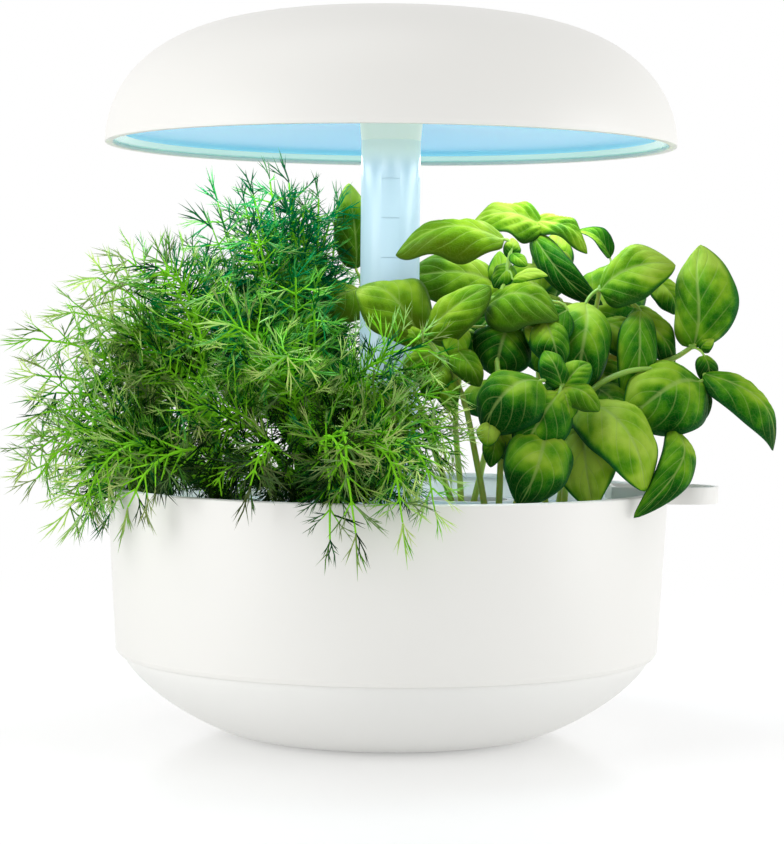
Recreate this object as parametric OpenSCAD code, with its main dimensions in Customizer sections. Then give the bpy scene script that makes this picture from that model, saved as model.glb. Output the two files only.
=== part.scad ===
// Countertop hydroponic garden: a round water bowl with a lift-out planting tray for six
// capsules, a lamp dome on two stacked height adapters, a pump under the tray and grown herbs.
// Units are millimetres. +Z is up, the origin is the centre of the face the bowl stands on,
// and the pour lip points along +X.

/* [Bowl] */
// Outer diameter of the bowl at its rim
bowl_rim_d = 314.6; // [308:0.1:330]
// Height of the bowl's rim above the table
rim_z = 138.2; // [134:0.1:160]
// Height of the seam between the lower vessel and the outer skirt
seam_z = 44.5; // [40:0.1:50]
// Outer diameter of the vessel at the seam
seam_d = 296; // [290:0.5:298]
// Diameter of the flat under the vessel
base_d = 170.8; // [160:0.2:190]
// Wall of the vessel
vessel_wall = 2.5; // [2:0.1:3.5]
// Wall of the outer skirt
skirt_wall = 2.6; // [2:0.1:3]
// Thickness of the skirt's inward rim
rim_t = 2.5; // [2:0.1:4]
// How far the skirt's lower edge stands out from the seam
skirt_step = 4; // [3:0.1:6]
// Gap under the vessel's flat, set by the foot ring
foot_lift = 1.2; // [0.8:0.1:2]
// Mean diameter of the rubber foot ring
foot_d = 142; // [120:1:148]

/* [Tray] */
// Depth of the planting deck's top below the rim
deck_drop = 14.2; // [12:0.1:18]
// Thickness of the planting deck
deck_t = 3; // [2.5:0.1:4]
// Pitch circle diameter of the capsules
capsule_pcd = 190; // [186:1:196]
// Diameter of a capsule cup just under its flange
cup_d = 51.2; // [46:0.2:53]
// Depth of a capsule cup below the deck's top
cup_depth = 56; // [50:1:62]
// Width of the pour lip and of its notch
lip_w = 39; // [36:0.5:42]
// Reach of the pour lip from the centre
lip_reach = 186.5; // [182:0.5:190]
// Thickness of the pour lip
lip_t = 9.4; // [9:0.1:10]

/* [Column] */
// Outer diameter of the column, its adapters and the post
column_d = 33.3; // [31:0.1:35]
// Length of one height adapter
adapter_h = 88; // [80:1:88]
// Depth of each spigot in its socket
spigot_h = 16; // [12:1:17]
// Diameter of the spigots
spigot_d = 28.3; // [27:0.1:29]
// Bore through the spigots
bore_d = 23; // [22:0.5:24]
// Height of the post's top above the deck
post_h = 32.5; // [30:0.5:36]

/* [Lamp] */
// Outer diameter of the dome at its rim
dome_d = 320; // [312:1:330]
// Height of the dome above its rim
dome_h = 73; // [70:1:80]
// Wall of the dome
dome_wall = 2.2; // [2:0.1:3]
// Drop of the dome's rim below the top of the upper adapter
rim_drop = 3.3; // [2:0.1:5]
// Width of the lip inside the dome's rim
dome_lip_w = 4.5; // [4:0.1:6]
// Travel of the mode button
button_travel = 0.6; // [0.4:0.1:0.8]

/* [Pump] */
// Outer diameter of the pump
pump_d = 42; // [40:0.5:46]
// Height of the pump's strainer foot above the table
pump_z = 6; // [5:0.5:8]
// Diameter of the rotor's shaft
shaft_d = 2; // [1.8:0.1:2.4]

/* [Water level] */
// Travel of the level float from empty to full
float_travel = 25; // [20:1:28]
// Diameter of the level float
float_d = 16; // [14:0.5:17]

/* [Inlet] */
// Diameter of the low-voltage inlet's barrel
inlet_barrel_d = 5.7; // [5.6:0.1:6]
// Diameter of the inlet's centre pin
inlet_pin_d = 2; // [1.9:0.05:2.2]
// Length of the inlet's centre pin
inlet_pin_l = 8; // [7:0.5:9]

/* [Hidden] */

$fn = 96;
eps = 0.01;        // overlap of a cutting tool past the face it opens
fit_gap = 0.3;     // clearance between pieces that slip together
lift_gap = 0.8;    // clearance around pieces that lift out
run_gap = 0.06;    // radial clearance of the rotor's shaft in its bearings

// Bowl
rim_r = bowl_rim_d / 2;
seam_r = seam_d / 2;
base_r = base_d / 2;
rim_round = 1.2;
skirt_slope = 0.78;   // rise of the skirt's lower edge per millimetre it stands out
vessel_top_z = rim_z - rim_t;
vessel_top_r = rim_r - skirt_wall - fit_gap;
base_curve_x = 1.3;   // roundness of the vessel's lower wall, outwards
base_curve_z = 1.37;  // roundness of the vessel's lower wall, upwards
foot_w = 8;
foot_t = 2.2;
foot_gap = 0.2;

// Tray
deck_z = rim_z - deck_drop;
ledge_z = deck_z - deck_t;
ledge_w = 4;
ledge_t = 2;
deck_r = vessel_r(ledge_z) - vessel_wall - lift_gap;
lip_in_r = deck_r + lift_gap;
ring_w = 2;           // wall of the rings under the deck
ring_drop = 6;        // depth of the centring ring under the deck
capsule_r = capsule_pcd / 2;
capsule_az = [-60, 0, 60, 120, 180, 240];
cup_r = cup_d / 2;
cup_taper = 0.1;      // loss of radius per millimetre of depth
cup_wall = 1.5;
cup_flange_w = 2.9;
cup_flange_t = 2;
cup_gap = 0.4;        // clearance of a cup in its hole
cup_slot_w = 4;
cup_slot_h = 20;
cup_slot_up = 6;      // height of the slots above a cup's underside
cup_port_r = 2.5;     // hole in a cup for its spout
plug_drop = 2;        // depth of a plug's top below the deck's top
lip_top = rim_z + 1.8;
lip_low = lip_top - lip_t;
notch_floor = lip_low - 0.4;  // floor of the rim's two notches
lip_wall = 2.5;
trough_floor = lip_top - 7;
fill_r1 = 127;        // inner end of the hole that water is poured through
fill_r2 = 145;        // outer end of that hole
cut_up = 20;          // reach of a cutting tool past an upper face

// Column
col_r = column_d / 2;
spig_r = spigot_d / 2;
bore_r = bore_d / 2;
socket_r = spig_r + fit_gap;
socket_deep = spigot_h + 4;
post_top = deck_z + post_h;
lower_top = post_top + adapter_h;
upper_top = lower_top + adapter_h;
post_flange_r = 28;
post_flange_t = 3;
screw_pcr = 22;
screw_az = [0, 120, 240];
screw_r = 2;
screw_head_w = 1.5;   // reach of a screw's head past its shank
screw_head_t = 2.4;
screw_below = 2;      // reach of the post's screws below the hanger's flange
contact_t = 3;
pin_up = 3.8;         // reach of the spring pins above their block's underside
rod_r = 1;
rod_pcr = 6;
block_gap = 0.1;      // clearance of a contact block in the bore
mark_pitch = adapter_h / 4;
mark_w = 10;
mark_h = 0.6;
mark_deep = 0.3;

// Lamp
dome_r = dome_d / 2;
dome_z = upper_top - rim_drop;
dome_side = 3.5;      // roundness of the dome's side
dome_crown = 2;       // roundness of the dome's crown
dome_lip_t = 2;
panel_edge_z = dome_z + 5.3;
panel_mid_z = dome_z + 13.8;
panel_t = 2;
panel_shelf_w = 3.2;
ring_out_r = dome_in_r(panel_edge_z + panel_t + 1) - fit_gap;
panel_r = ring_out_r - 3.5 - fit_gap;
collar_flare = 1.75;  // growth of the collar's radius up to the board
board_z = dome_z + 20.8;
board_t = 1.6;
board_in_r = 38;
plate_z = board_z + board_t;
plate_t = 2.4;
plate_r = dome_in_r(plate_z + plate_t) - 3;
board_r = plate_r - 4;
socket_flange_r = 34;
socket_flange_t = 3;
socket_screw_pcr = 29;
boss_pcr = 110;
boss_r = 4;
boss_hole = 10;       // depth of the screw holes in the dome's bosses
boss_az = [45, 135, 225, 315];
lamp_screw_r = 1.5;
lamp_head_w = 1.4;
lamp_head_t = 2;
led = 3;
led_t = 1.2;
standoff_h = 4;
control_z = plate_z + plate_t + standoff_h;
control_t = 1.6;
switch_top = control_z + control_t + 5;
button_r = 9;
button_top = dome_z + dome_h - 0.3;
button_cap_t = 4.5;
button_stem_r = 3;
button_skirt_w = 2.5; // wall around the button's pocket
button_guide_w = 3;   // wall around the button's stem
button_stop_w = 1.4;  // reach of the stop that keeps the button in
button_stop_t = 1.4;
guide_z = dome_z + dome_h - 18;

// Pump
pump_r = pump_d / 2;
strainer_h = 10;
cover_z = pump_z + strainer_h;
cover_h = 12;
housing_z = cover_z + cover_h;
housing_h = 22;
hanger_z = housing_z + housing_h;
pump_wall = 2;
pump_floor = 2;
well_r = 7.4;
well_wall = 1.6;
well_top = housing_z + 21;
bearing_deep = 2;     // depth of the rotor's upper bearing
magnet_r = 6.9;
shaft_r = shaft_d / 2;
riser_y = -(pump_r + 6);
riser_r = 3.5;
riser_in_r = 2.5;
riser_gap = 0.1;
riser_deep = 3;       // depth of the riser's seat in the manifold
riser_boss_r = 5.5;   // boss around each end of the riser
spout_r = 3;
spout_in_r = 1.8;
spout_gap = 0.6;      // gap from a spout to the cup it feeds
eye_r = 7;            // radius of the pump's inlet
eye_hub_r = 3;        // hub of the rotor's lower bearing
eye_spoke_w = 2;
riser_seat = cover_z + 6.5;
manifold_r = 60;
manifold_w = 8;
manifold_h = 8;
manifold_top = ledge_z - 4;
manifold_wall = 1.5;
hanger_r = 12;
hanger_wall = 2;
hanger_flange_r = 26;
hanger_flange_t = 3;
hanger_slot_w = 6;
hanger_slot_h = 30;
hanger_slot_up = 14;  // height of the slots above the hanger's underside
strainer_wall = 1.6;
strainer_slot_w = 2.5;

// Float
float_az = 30;
float_pcr = 125;
float_r = float_d / 2;
guide_r = float_r + 0.5;
guide_wall = 1.5;
guide_cap_t = 2;      // thickness of the float guide's two ends
guide_spare = 2.8;    // room over the float when the bowl is full
float_h = 20;
float_low = deck_z - guide_cap_t - guide_spare - float_travel - float_h;
guide_low = float_low - guide_cap_t - 0.2;
guide_slot_w = 3;
float_stem_r = 2;

// Inlet
inlet_y = 172;
lug_y1 = 127;         // inner face of the inlet's block
lug_y2 = 148;         // outer face of that block
lug_w = 28;
lug_top = lip_top + 6;
inlet_deep = 9.5;
lead_r = 2;
lead_gap = 0.2;
lead_slot_w = 6;      // width of the channels that the leads lie in
lead_z = deck_z + 2.3;
lead_rib_w = 1.6;     // ribs on the deck that hold the lead
lead_rib_h = 4;
sweep_ref = [0.83, 0.11, 0.23];  // a direction that no lead or stem runs along

// Outer radius of the vessel's upper wall at height z.
function vessel_r(z) =
    seam_r + (vessel_top_r - seam_r) * (z - seam_z) / (vessel_top_z - seam_z);

// The vessel's lower curve, from its flat up to the seam, moved inwards and up by t.
function base_curve(t) = [
    for (a = [0 : 5 : 90])
        [base_r - t / 3 + (seam_r - base_r - t * 2 / 3) * pow(sin(a), 2 / base_curve_x),
         foot_lift + t + (seam_z - foot_lift - t) * (1 - pow(cos(a), 2 / base_curve_z))]
];

// The dome's curve from its rim to its apex, moved inwards by t.
function dome_curve(t) = [
    for (a = [0 : 4 : 88])
        [(dome_r - t) * pow(cos(a), 2 / dome_side),
         dome_z + (dome_h - t) * pow(sin(a), 2 / dome_crown)],
    [0, dome_z + dome_h - t]
];

// Inner radius of the dome at height z.
function dome_in_r(z) =
    (dome_r - dome_wall)
    * pow(1 - pow((z - dome_z) / (dome_h - dome_wall), dome_crown), 1 / dome_side);

// Small vector helpers for the plants.
function unit(v) = v / norm(v);
function mix(a, b, t) = a + (b - a) * t;
function bend(a, b, c, t) = mix(mix(a, b, t), mix(b, c, t), t);

// Copies its children at each azimuth, at radius r.
module around(azimuths, r) {
    for (a = azimuths) rotate([0, 0, a]) translate([r, 0, 0]) children();
}

module tube(r_out, r_in, z0, z1) {
    rotate_extrude() translate([r_in, z0]) square([r_out - r_in, z1 - z0]);
}

module rod(r, z0, z1) {
    translate([0, 0, z0]) cylinder(r = r, h = z1 - z0);
}

// Both notches in the bowl's rim: the pour lip's at +X and the inlet's at +Y.
module rim_notches() {
    reach = rim_r + 10;
    translate([0, -lip_w / 2 - lift_gap, notch_floor])
        cube([reach, lip_w + 2 * lift_gap, rim_z]);
    translate([-lug_w / 2 - lift_gap, 0, notch_floor])
        cube([lug_w + 2 * lift_gap, reach, rim_z]);
}

// ---- Bowl ----

module reservoir_bowl() {
    ledge_out = vessel_r(ledge_z) - vessel_wall;
    color("white") difference() {
        rotate_extrude() polygon(concat(
            [[0, foot_lift]],
            base_curve(0),
            [[vessel_top_r, vessel_top_z],
             [vessel_top_r - vessel_wall, vessel_top_z],
             [ledge_out, ledge_z],
             [ledge_out - ledge_w, ledge_z],
             [ledge_out - ledge_w, ledge_z - ledge_t],
             [vessel_r(ledge_z - ledge_t - ledge_w) - vessel_wall, ledge_z - ledge_t - ledge_w]],
            [for (i = [len(base_curve(0)) - 1 : -1 : 0]) base_curve(vessel_wall)[i]],
            [[0, foot_lift + vessel_wall]]));
        rim_notches();
        tube((foot_d + foot_w) / 2 + foot_gap, (foot_d - foot_w) / 2 - foot_gap, 0, foot_t);
    }
}

module bowl_skirt() {
    low_in = vessel_r(seam_z) + fit_gap;
    color("white") difference() {
        rotate_extrude() polygon([
            [low_in, seam_z],
            [low_in + skirt_step, seam_z + skirt_step * skirt_slope],
            [rim_r, rim_z - rim_round],
            [rim_r - rim_round * 0.3, rim_z - rim_round * 0.3],
            [rim_r - rim_round, rim_z],
            [lip_in_r, rim_z],
            [lip_in_r, vessel_top_z],
            [vessel_top_r + fit_gap, vessel_top_z]
        ]);
        rim_notches();
    }
}

module foot_ring() {
    color("dimgray") tube((foot_d + foot_w) / 2, (foot_d - foot_w) / 2, 0, foot_t);
}

// ---- Tray ----

module grow_tray() {
    ring_out = vessel_r(ledge_z) - vessel_wall - ledge_w - lift_gap;
    color("whitesmoke") difference() {
        union() {
            rod(deck_r, ledge_z, deck_z);
            tube(ring_out, ring_out - ring_w, ledge_z - ring_drop, ledge_z);
            tube(manifold_r + ring_w, manifold_r - ring_w, manifold_top, ledge_z);
            for (side = [-1, 1])
                translate([(side * (lead_slot_w + 2) - lead_rib_w) / 2, post_flange_r + 1, deck_z - 1])
                    cube([lead_rib_w, lug_y1 - post_flange_r - 2, lead_rib_h + 1]);
        }
        around(capsule_az, capsule_r) rod(cup_r + cup_gap, ledge_z - cut_up / 2, deck_z + 1);
        around([float_az], float_pcr)
            rod(guide_r + guide_wall + fit_gap, ledge_z - cut_up / 2, deck_z + 1);
        around(screw_az, screw_pcr) rod(screw_r, ledge_z - 1, deck_z + 1);
        rod(hanger_r - hanger_wall, ledge_z - 1, deck_z + 1);
        translate([fill_r1, -lip_w / 2 + lip_wall, ledge_z - cut_up / 2])
            cube([fill_r2 - fill_r1, lip_w - 2 * lip_wall, cut_up]);
    }
}

module column_post() {
    color("azure") difference() {
        rotate_extrude() polygon([
            [bore_r, deck_z], [post_flange_r, deck_z], [post_flange_r, deck_z + post_flange_t],
            [col_r, deck_z + post_flange_t], [col_r, post_top], [socket_r, post_top],
            [socket_r, post_top - socket_deep], [bore_r, post_top - socket_deep]
        ]);
        around(screw_az, screw_pcr) rod(screw_r, deck_z - 1, deck_z + post_flange_t + 1);
        translate([-lead_slot_w / 2, bore_r - 2, deck_z - 1])
            cube([lead_slot_w, post_flange_r, lead_slot_w + 2]);
    }
}

module post_screws() {
    head_z = deck_z + post_flange_t;
    color("silver") around(screw_az, screw_pcr) union() {
        rod(screw_r, ledge_z - hanger_flange_t - screw_below, head_z);
        rod(screw_r + screw_head_w, head_z, head_z + screw_head_t);
    }
}

// A round block of contacts: spring pins above it when pins is true.
module contact_block(r, z, pins) {
    rod(r, z, z + contact_t);
    if (pins) around([0, 120, 240], rod_pcr) rod(rod_r, z + contact_t - eps, z + pin_up);
}

// The three conductors from one contact block to the next.
module conductors(z0, z1) {
    around([60, 180, 300], rod_pcr) rod(rod_r, z0 - eps, z1 + eps);
}

module base_contacts() {
    color("darkgoldenrod") union() contact_block(spig_r, post_top - socket_deep, true);
}

module pour_lip() {
    end_x = lip_reach - lip_w / 2;
    end_r = lip_w / 2 - lip_wall;
    color("white") difference() {
        union() {
            translate([fill_r1 - lip_wall, -lip_w / 2, deck_z])
                cube([fill_r2 + 2 * lip_wall - fill_r1, lip_w, lip_top - deck_z]);
            translate([fill_r1, -lip_w / 2, lip_low]) cube([end_x - fill_r1, lip_w, lip_t]);
            translate([end_x, 0, 0]) rod(lip_w / 2, lip_low, lip_top);
        }
        translate([fill_r1, -end_r, trough_floor]) cube([end_x - fill_r1, 2 * end_r, cut_up]);
        translate([end_x, 0, 0]) rod(end_r, trough_floor, lip_top + 1);
        translate([fill_r1, -end_r, deck_z - 1]) cube([fill_r2 - fill_r1, 2 * end_r, cut_up]);
    }
}

module float_guide() {
    color("whitesmoke") around([float_az], float_pcr) difference() {
        union() {
            rod(guide_r + guide_wall, guide_low, deck_z);
            rod(guide_r + 2 * guide_wall + guide_cap_t, deck_z, deck_z + guide_cap_t);
        }
        rod(guide_r, guide_low + guide_cap_t, deck_z - guide_cap_t);
        rod(float_stem_r + cup_gap, deck_z - guide_cap_t - 1, deck_z + guide_cap_t + 1);
        rod(guide_r - 3, guide_low - 1, guide_low + guide_cap_t + 1);
        for (a = [0, 90])
            rotate([0, 0, a]) translate([-float_d, -guide_slot_w / 2, guide_low + 3 * guide_cap_t])
                cube([2 * float_d, guide_slot_w, deck_z - guide_low - 8 * guide_cap_t]);
    }
}

module level_float() {
    color("orangered") around([float_az], float_pcr) union() {
        rod(float_r, float_low, float_low + float_h);
        rod(float_stem_r, float_low + float_h - eps, deck_z + guide_cap_t);
    }
}

// ---- Water path ----

module water_manifold() {
    low = manifold_top - manifold_h;
    out_r = manifold_r + manifold_w / 2;
    in_r = manifold_r - manifold_w / 2;
    spout_end = capsule_r - cup_r - spout_gap;
    mid_z = low + manifold_h / 2;
    color("gainsboro") difference() {
        union() {
            tube(out_r, in_r, low, manifold_top);
            for (a = capsule_az)
                rotate([0, 0, a]) translate([out_r - 1, 0, mid_z]) rotate([0, 90, 0])
                    cylinder(r = spout_r, h = spout_end - out_r + 1);
            translate([-manifold_w / 2, -in_r - 1, low])
                cube([manifold_w, in_r + riser_y + 1, manifold_h]);
            translate([0, riser_y, 0]) rod(riser_boss_r, low, manifold_top);
        }
        tube(out_r - manifold_wall, in_r + manifold_wall, low + manifold_wall,
             manifold_top - manifold_wall);
        for (a = capsule_az)
            rotate([0, 0, a]) translate([out_r - 3, 0, mid_z]) rotate([0, 90, 0])
                cylinder(r = spout_in_r, h = spout_end - out_r + 4);
        translate([-manifold_w / 4, -in_r - 3, mid_z - manifold_h / 4])
            cube([manifold_w / 2, in_r + riser_y + 3, manifold_h / 2]);
        translate([0, riser_y, 0]) rod(riser_r + riser_gap, low - 1, low + riser_deep);
        translate([0, riser_y, 0]) rod(riser_in_r, low, mid_z + 2);
    }
}

module riser_tube() {
    color("lightcyan") translate([0, riser_y, 0])
        tube(riser_r, riser_in_r, riser_seat, manifold_top - manifold_h + riser_deep);
}

// ---- Pump ----

module pump_hanger() {
    color("whitesmoke") difference() {
        union() {
            rod(hanger_r, hanger_z, ledge_z);
            rod(hanger_flange_r, ledge_z - hanger_flange_t, ledge_z);
            rod(pump_r, hanger_z, hanger_z + hanger_flange_t);
        }
        rod(hanger_r - hanger_wall, hanger_z + hanger_flange_t, ledge_z + 1);
        rod(lead_r + lead_gap, hanger_z - 1, hanger_z + hanger_flange_t + 1);
        around(screw_az, screw_pcr) rod(screw_r, ledge_z - hanger_flange_t - 1, ledge_z + 1);
        for (a = [0, 90])
            rotate([0, 0, a])
                translate([-hanger_r - 1, -hanger_slot_w / 2, hanger_z + hanger_slot_up])
                    cube([2 * hanger_r + 2, hanger_slot_w, hanger_slot_h]);
    }
}

module pump_housing() {
    color("dimgray") difference() {
        rod(pump_r, housing_z, hanger_z);
        difference() {
            rod(pump_r - pump_wall, housing_z + pump_floor, hanger_z + 1);
            rod(well_r + well_wall, housing_z, well_top);
        }
        rod(well_r, housing_z - 1, well_top - bearing_deep - 0.5);
        rod(shaft_r + run_gap, well_top - bearing_deep - 1, well_top - 1);
    }
}

module pump_cover() {
    color("dimgray") difference() {
        union() {
            rod(pump_r, cover_z, housing_z);
            translate([-4, riser_y, cover_z]) cube([8, -riser_y - pump_r + 4, cover_h]);
            translate([0, riser_y, 0]) rod(riser_boss_r, cover_z, housing_z);
        }
        rod(pump_r - 3, cover_z + pump_floor, housing_z + 1);
        difference() {
            rod(eye_r, cover_z - 1, cover_z + pump_floor + 1);
            rod(eye_hub_r, cover_z - 2, cover_z + pump_floor);
            for (a = [0, 60, 120])
                rotate([0, 0, a]) translate([-eye_r - 1, -eye_spoke_w / 2, cover_z - 2])
                    cube([2 * eye_r + 2, eye_spoke_w, pump_floor + 2]);
        }
        rod(shaft_r + run_gap, cover_z - 1, cover_z + pump_floor + 1);
        translate([0, -pump_r + 6, cover_z + 4.2]) rotate([90, 0, 0])
            cylinder(r = 2, h = -riser_y - pump_r + 6);
        translate([0, riser_y, 0]) rod(riser_in_r, cover_z + 2, riser_seat);
        translate([0, riser_y, 0]) rod(riser_r + riser_gap, riser_seat, housing_z + 1);
    }
}

module pump_stator() {
    out_r = pump_r - pump_wall - fit_gap;
    in_r = well_r + well_wall + fit_gap;
    low = housing_z + pump_floor;
    color("peru") union() {
        tube(out_r, out_r - 3, low, low + 14);
        tube(in_r + 1.5, in_r, low, low + 14);
        for (a = [45, 135, 225, 315])
            rotate([0, 0, a]) translate([in_r + 1, -2.5, low + 1])
                cube([out_r - in_r - 3, 5, 12]);
    }
}

module pump_strainer() {
    color("dimgray") difference() {
        rod(pump_r, pump_z, cover_z);
        rod(pump_r - strainer_wall, pump_z + strainer_wall, cover_z + 1);
        for (a = [15 : 30 : 165])
            rotate([0, 0, a]) translate([-pump_r - 1, -strainer_slot_w / 2, pump_z + 2.5])
                cube([2 * pump_r + 2, strainer_slot_w, strainer_h - 4]);
    }
}

module filter_foam() {
    color("slategray") rod(pump_r - strainer_wall - fit_gap, pump_z + strainer_wall, cover_z - 0.4);
}

module pump_lead() {
    color("black") rod(lead_r, well_top + fit_gap, post_top - socket_deep);
}

module impeller() {
    disc_z = housing_z - 3;
    low = cover_z + pump_floor + 1.5;
    color("lightgray") difference() {
        union() {
            rod(4, low, housing_z + 0.8);
            rod(pump_r - 6, disc_z, disc_z + 1.5);
            for (a = [0 : 60 : 300])
                rotate([0, 0, a]) translate([3, -0.6, low + 0.2])
                    cube([pump_r - 9.6, 1.2, disc_z - low]);
        }
        rod(shaft_r, low - 1, housing_z + 2);
    }
}

module rotor_magnet() {
    color("darkslategray") tube(magnet_r, shaft_r, housing_z + 0.8, well_top - bearing_deep - 1.2);
}

module rotor_shaft() {
    color("white") rod(shaft_r, cover_z + 0.3, well_top - 1.3);
}

// ---- Power ----

// The lead's route from the inlet, over the deck and into the post.
lead_route = [
    [0, inlet_y - 6, lead_z + 9.5], [0, lug_y2 - 1, lead_z + 9.5], [0, lug_y2 - 10, lead_z],
    [0, 18, lead_z], [0, 9, lead_z + 2], [0, 7, lead_z + 6], [0, 7, post_top - socket_deep]
];

// A lead or stem swept along a route, from radius r0 at its start to r1 at its end.
module swept(route, r0, r1, sides) {
    last = len(route) - 1;
    function way(i) = unit(route[min(i + 1, last)] - route[max(i - 1, 0)]);
    points = [
        for (i = [0 : last]) let (t = way(i), n = unit(cross(sweep_ref, t)), m = cross(t, n))
            for (k = [0 : sides - 1]) let (a = 360 * k / sides)
                route[i] + (r0 + (r1 - r0) * i / last) * (cos(a) * n + sin(a) * m)
    ];
    walls = [
        for (i = [0 : last - 1]) for (k = [0 : sides - 1]) let (m = (k + 1) % sides, up = sides)
            each [[i * up + k, (i + 1) * up + k, (i + 1) * up + m],
                  [i * up + k, (i + 1) * up + m, i * up + m]]
    ];
    first_cap = [for (k = [1 : sides - 2]) [0, k, k + 1]];
    end_cap = [for (k = [1 : sides - 2]) let (e = last * sides) [e, e + k + 1, e + k]];
    polyhedron(points, concat(first_cap, walls, end_cap));
}

module power_lead() {
    color("white") swept(lead_route, lead_r - lead_gap, lead_r - lead_gap, 10);
}

module dc_inlet() {
    pin_z = lip_low + inlet_deep;
    color("white") difference() {
        union() {
            translate([-lug_w / 2, lug_y1, deck_z])
                cube([lug_w, lug_y2 - lug_y1, lug_top - deck_z]);
            translate([-lug_w / 2, lug_y1, lip_low])
                cube([lug_w, inlet_y + 12 - lug_y1, lug_top - lip_low]);
        }
        translate([-lead_slot_w / 2, lug_y1 - 1, deck_z - 1])
            cube([lead_slot_w, lug_y2 - lug_y1 - 0.5, 15.5]);
        translate([-lead_slot_w / 2, lug_y1 - 1, lead_z + 6.5])
            cube([lead_slot_w, inlet_y - lug_y1 - 4.5, lead_slot_w]);
        difference() {
            translate([0, inlet_y, 0]) rod(inlet_barrel_d / 2, lip_low - 1, pin_z);
            translate([0, inlet_y, 0]) rod(inlet_pin_d / 2, pin_z - inlet_pin_l, pin_z + 1);
        }
    }
}

// ---- Capsules ----

module capsule_cup(azimuth) {
    low_r = cup_r - cup_depth * cup_taper;
    low_z = deck_z - cup_depth;
    color("whitesmoke") around([azimuth], capsule_r) difference() {
        union() {
            translate([0, 0, low_z]) cylinder(r1 = low_r, r2 = cup_r, h = cup_depth);
            rod(cup_r + cup_flange_w, deck_z, deck_z + cup_flange_t);
        }
        translate([0, 0, low_z + cup_wall])
            cylinder(r1 = low_r - cup_wall, r2 = cup_r - cup_wall, h = cup_depth + cup_flange_t);
        for (a = [30, 90, 150])
            rotate([0, 0, a]) translate([-cup_r - 1, -cup_slot_w / 2, low_z + cup_slot_up])
                cube([2 * cup_r + 2, cup_slot_w, cup_slot_h]);
        translate([-cup_r - 1, 0, manifold_top - manifold_h / 2]) rotate([0, 90, 0])
            cylinder(r = cup_port_r, h = 6);
    }
}

module growing_plug(azimuth) {
    low_r = cup_r - cup_depth * cup_taper - cup_wall - fit_gap;
    plug_h = cup_depth - cup_wall - plug_drop;
    color("saddlebrown") around([azimuth], capsule_r)
        translate([0, 0, deck_z - cup_depth + cup_wall])
            cylinder(r1 = low_r, r2 = low_r + plug_h * cup_taper, h = plug_h);
}

// ---- Plants ----

leaf_t = 1.2;        // thickness of a leaf's solid
leaf_bow = 0.12;     // rise of a leaf's midrib, as a share of its length
leaf_droop = 0.1;    // fall of a leaf's edges, as a share of its width
stem_sides = 6;
thin_sides = 4;      // sides of leaf stalks and fronds
plant_low = deck_z - plug_drop - 3;

// A leaf from base to tip: a bowed midrib with a drooping half on each side, facing face.
module leaf(base, tip, width, face) {
    along = unit(tip - base);
    side = unit(cross(along, face));
    n = cross(side, along);
    bow = n * norm(tip - base) * leaf_bow;
    wide = side * width / 2;
    fall = n * width * leaf_droop;
    low = mix(base, tip, 0.28) + bow;
    high = mix(base, tip, 0.64) + bow;
    outline = [base, low + wide - fall, high + wide * 0.86 - fall, tip,
               high - wide * 0.86 - fall, low - wide - fall];
    blade = concat(outline, [low, high]);
    up = n * leaf_t / 2;
    upper = [[0, 1, 6], [6, 1, 2], [6, 2, 7], [7, 2, 3], [7, 3, 4], [7, 4, 5], [7, 5, 6], [6, 5, 0]];
    polyhedron(
        concat([for (p = blade) p + up], [for (p = blade) p - up]),
        concat([for (t = upper) [t[0], t[2], t[1]]], [for (t = upper) t + [8, 8, 8]],
               [for (i = [0 : 5]) let (j = (i + 1) % 6)
                   each [[i, j, j + 8], [i, j + 8, i + 8]]]));
}

// The point along any of the stems that lies nearest to p.
function nearest(stems, p) =
    let (spots = [for (s = stems) for (i = [1 : len(s) - 1]) for (t = [0.4, 0.7, 1])
             mix(s[i - 1], s[i], t)],
         reach = [for (q = spots) norm(q - p)])
    spots[search(min(reach), reach)[0]];

// A straight stalk from a to b that runs on past b, into what it carries.
module stalk(a, b, r0, r1) {
    if (norm(b - a) > leaf_t) hull() swept([a, b + unit(b - a) * leaf_t], r0, r1, thin_sides);
}

// A pair of leaflets as one flat chevron across a frond's rib.
module leaflets(root, along, side, reach) {
    half = along * reach * 0.15;
    flat = [root - half, root + reach * unit(along * 0.8 + side), root + half,
            root + reach * unit(along * 0.8 - side)];
    up = unit(cross(side, along)) * leaf_t / 2;
    polyhedron(
        concat([for (p = flat) p + up], [for (p = flat) p - up]),
        [[0, 2, 1], [0, 3, 2], [4, 5, 6], [4, 6, 7],
         [0, 1, 5], [0, 5, 4], [1, 2, 6], [1, 6, 5],
         [2, 3, 7], [2, 7, 6], [3, 0, 4], [3, 4, 7]]);
}

// A feathery frond bent from base over knee to tip: a sheathed rib, and leaflets spread to each
// side that lean to their own angle.
module frond(base, knee, tip, spread, lean) {
    steps = 4;
    line = [for (i = [0 : steps]) bend(base, knee, tip, i / steps)];
    swept(line, 0.95, 0.6, thin_sides);
    stalk(base, mix(line[0], line[1], 0.4), 1.6, 1.2);
    for (k = [0 : 2]) {
        u = 1.75 + 0.8 * k;
        i = floor(u);
        along = unit(line[i + 1] - line[i]);
        leaflets(mix(line[i], line[i + 1], u - i), along,
                 unit(cross(along, [lean, -1, 0.07 * k - lean])), spread * (1 - 0.2 * k));
    }
}

toward = unit([0.1, -0.8, 0.6]);   // most leaves face forwards and up

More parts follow.
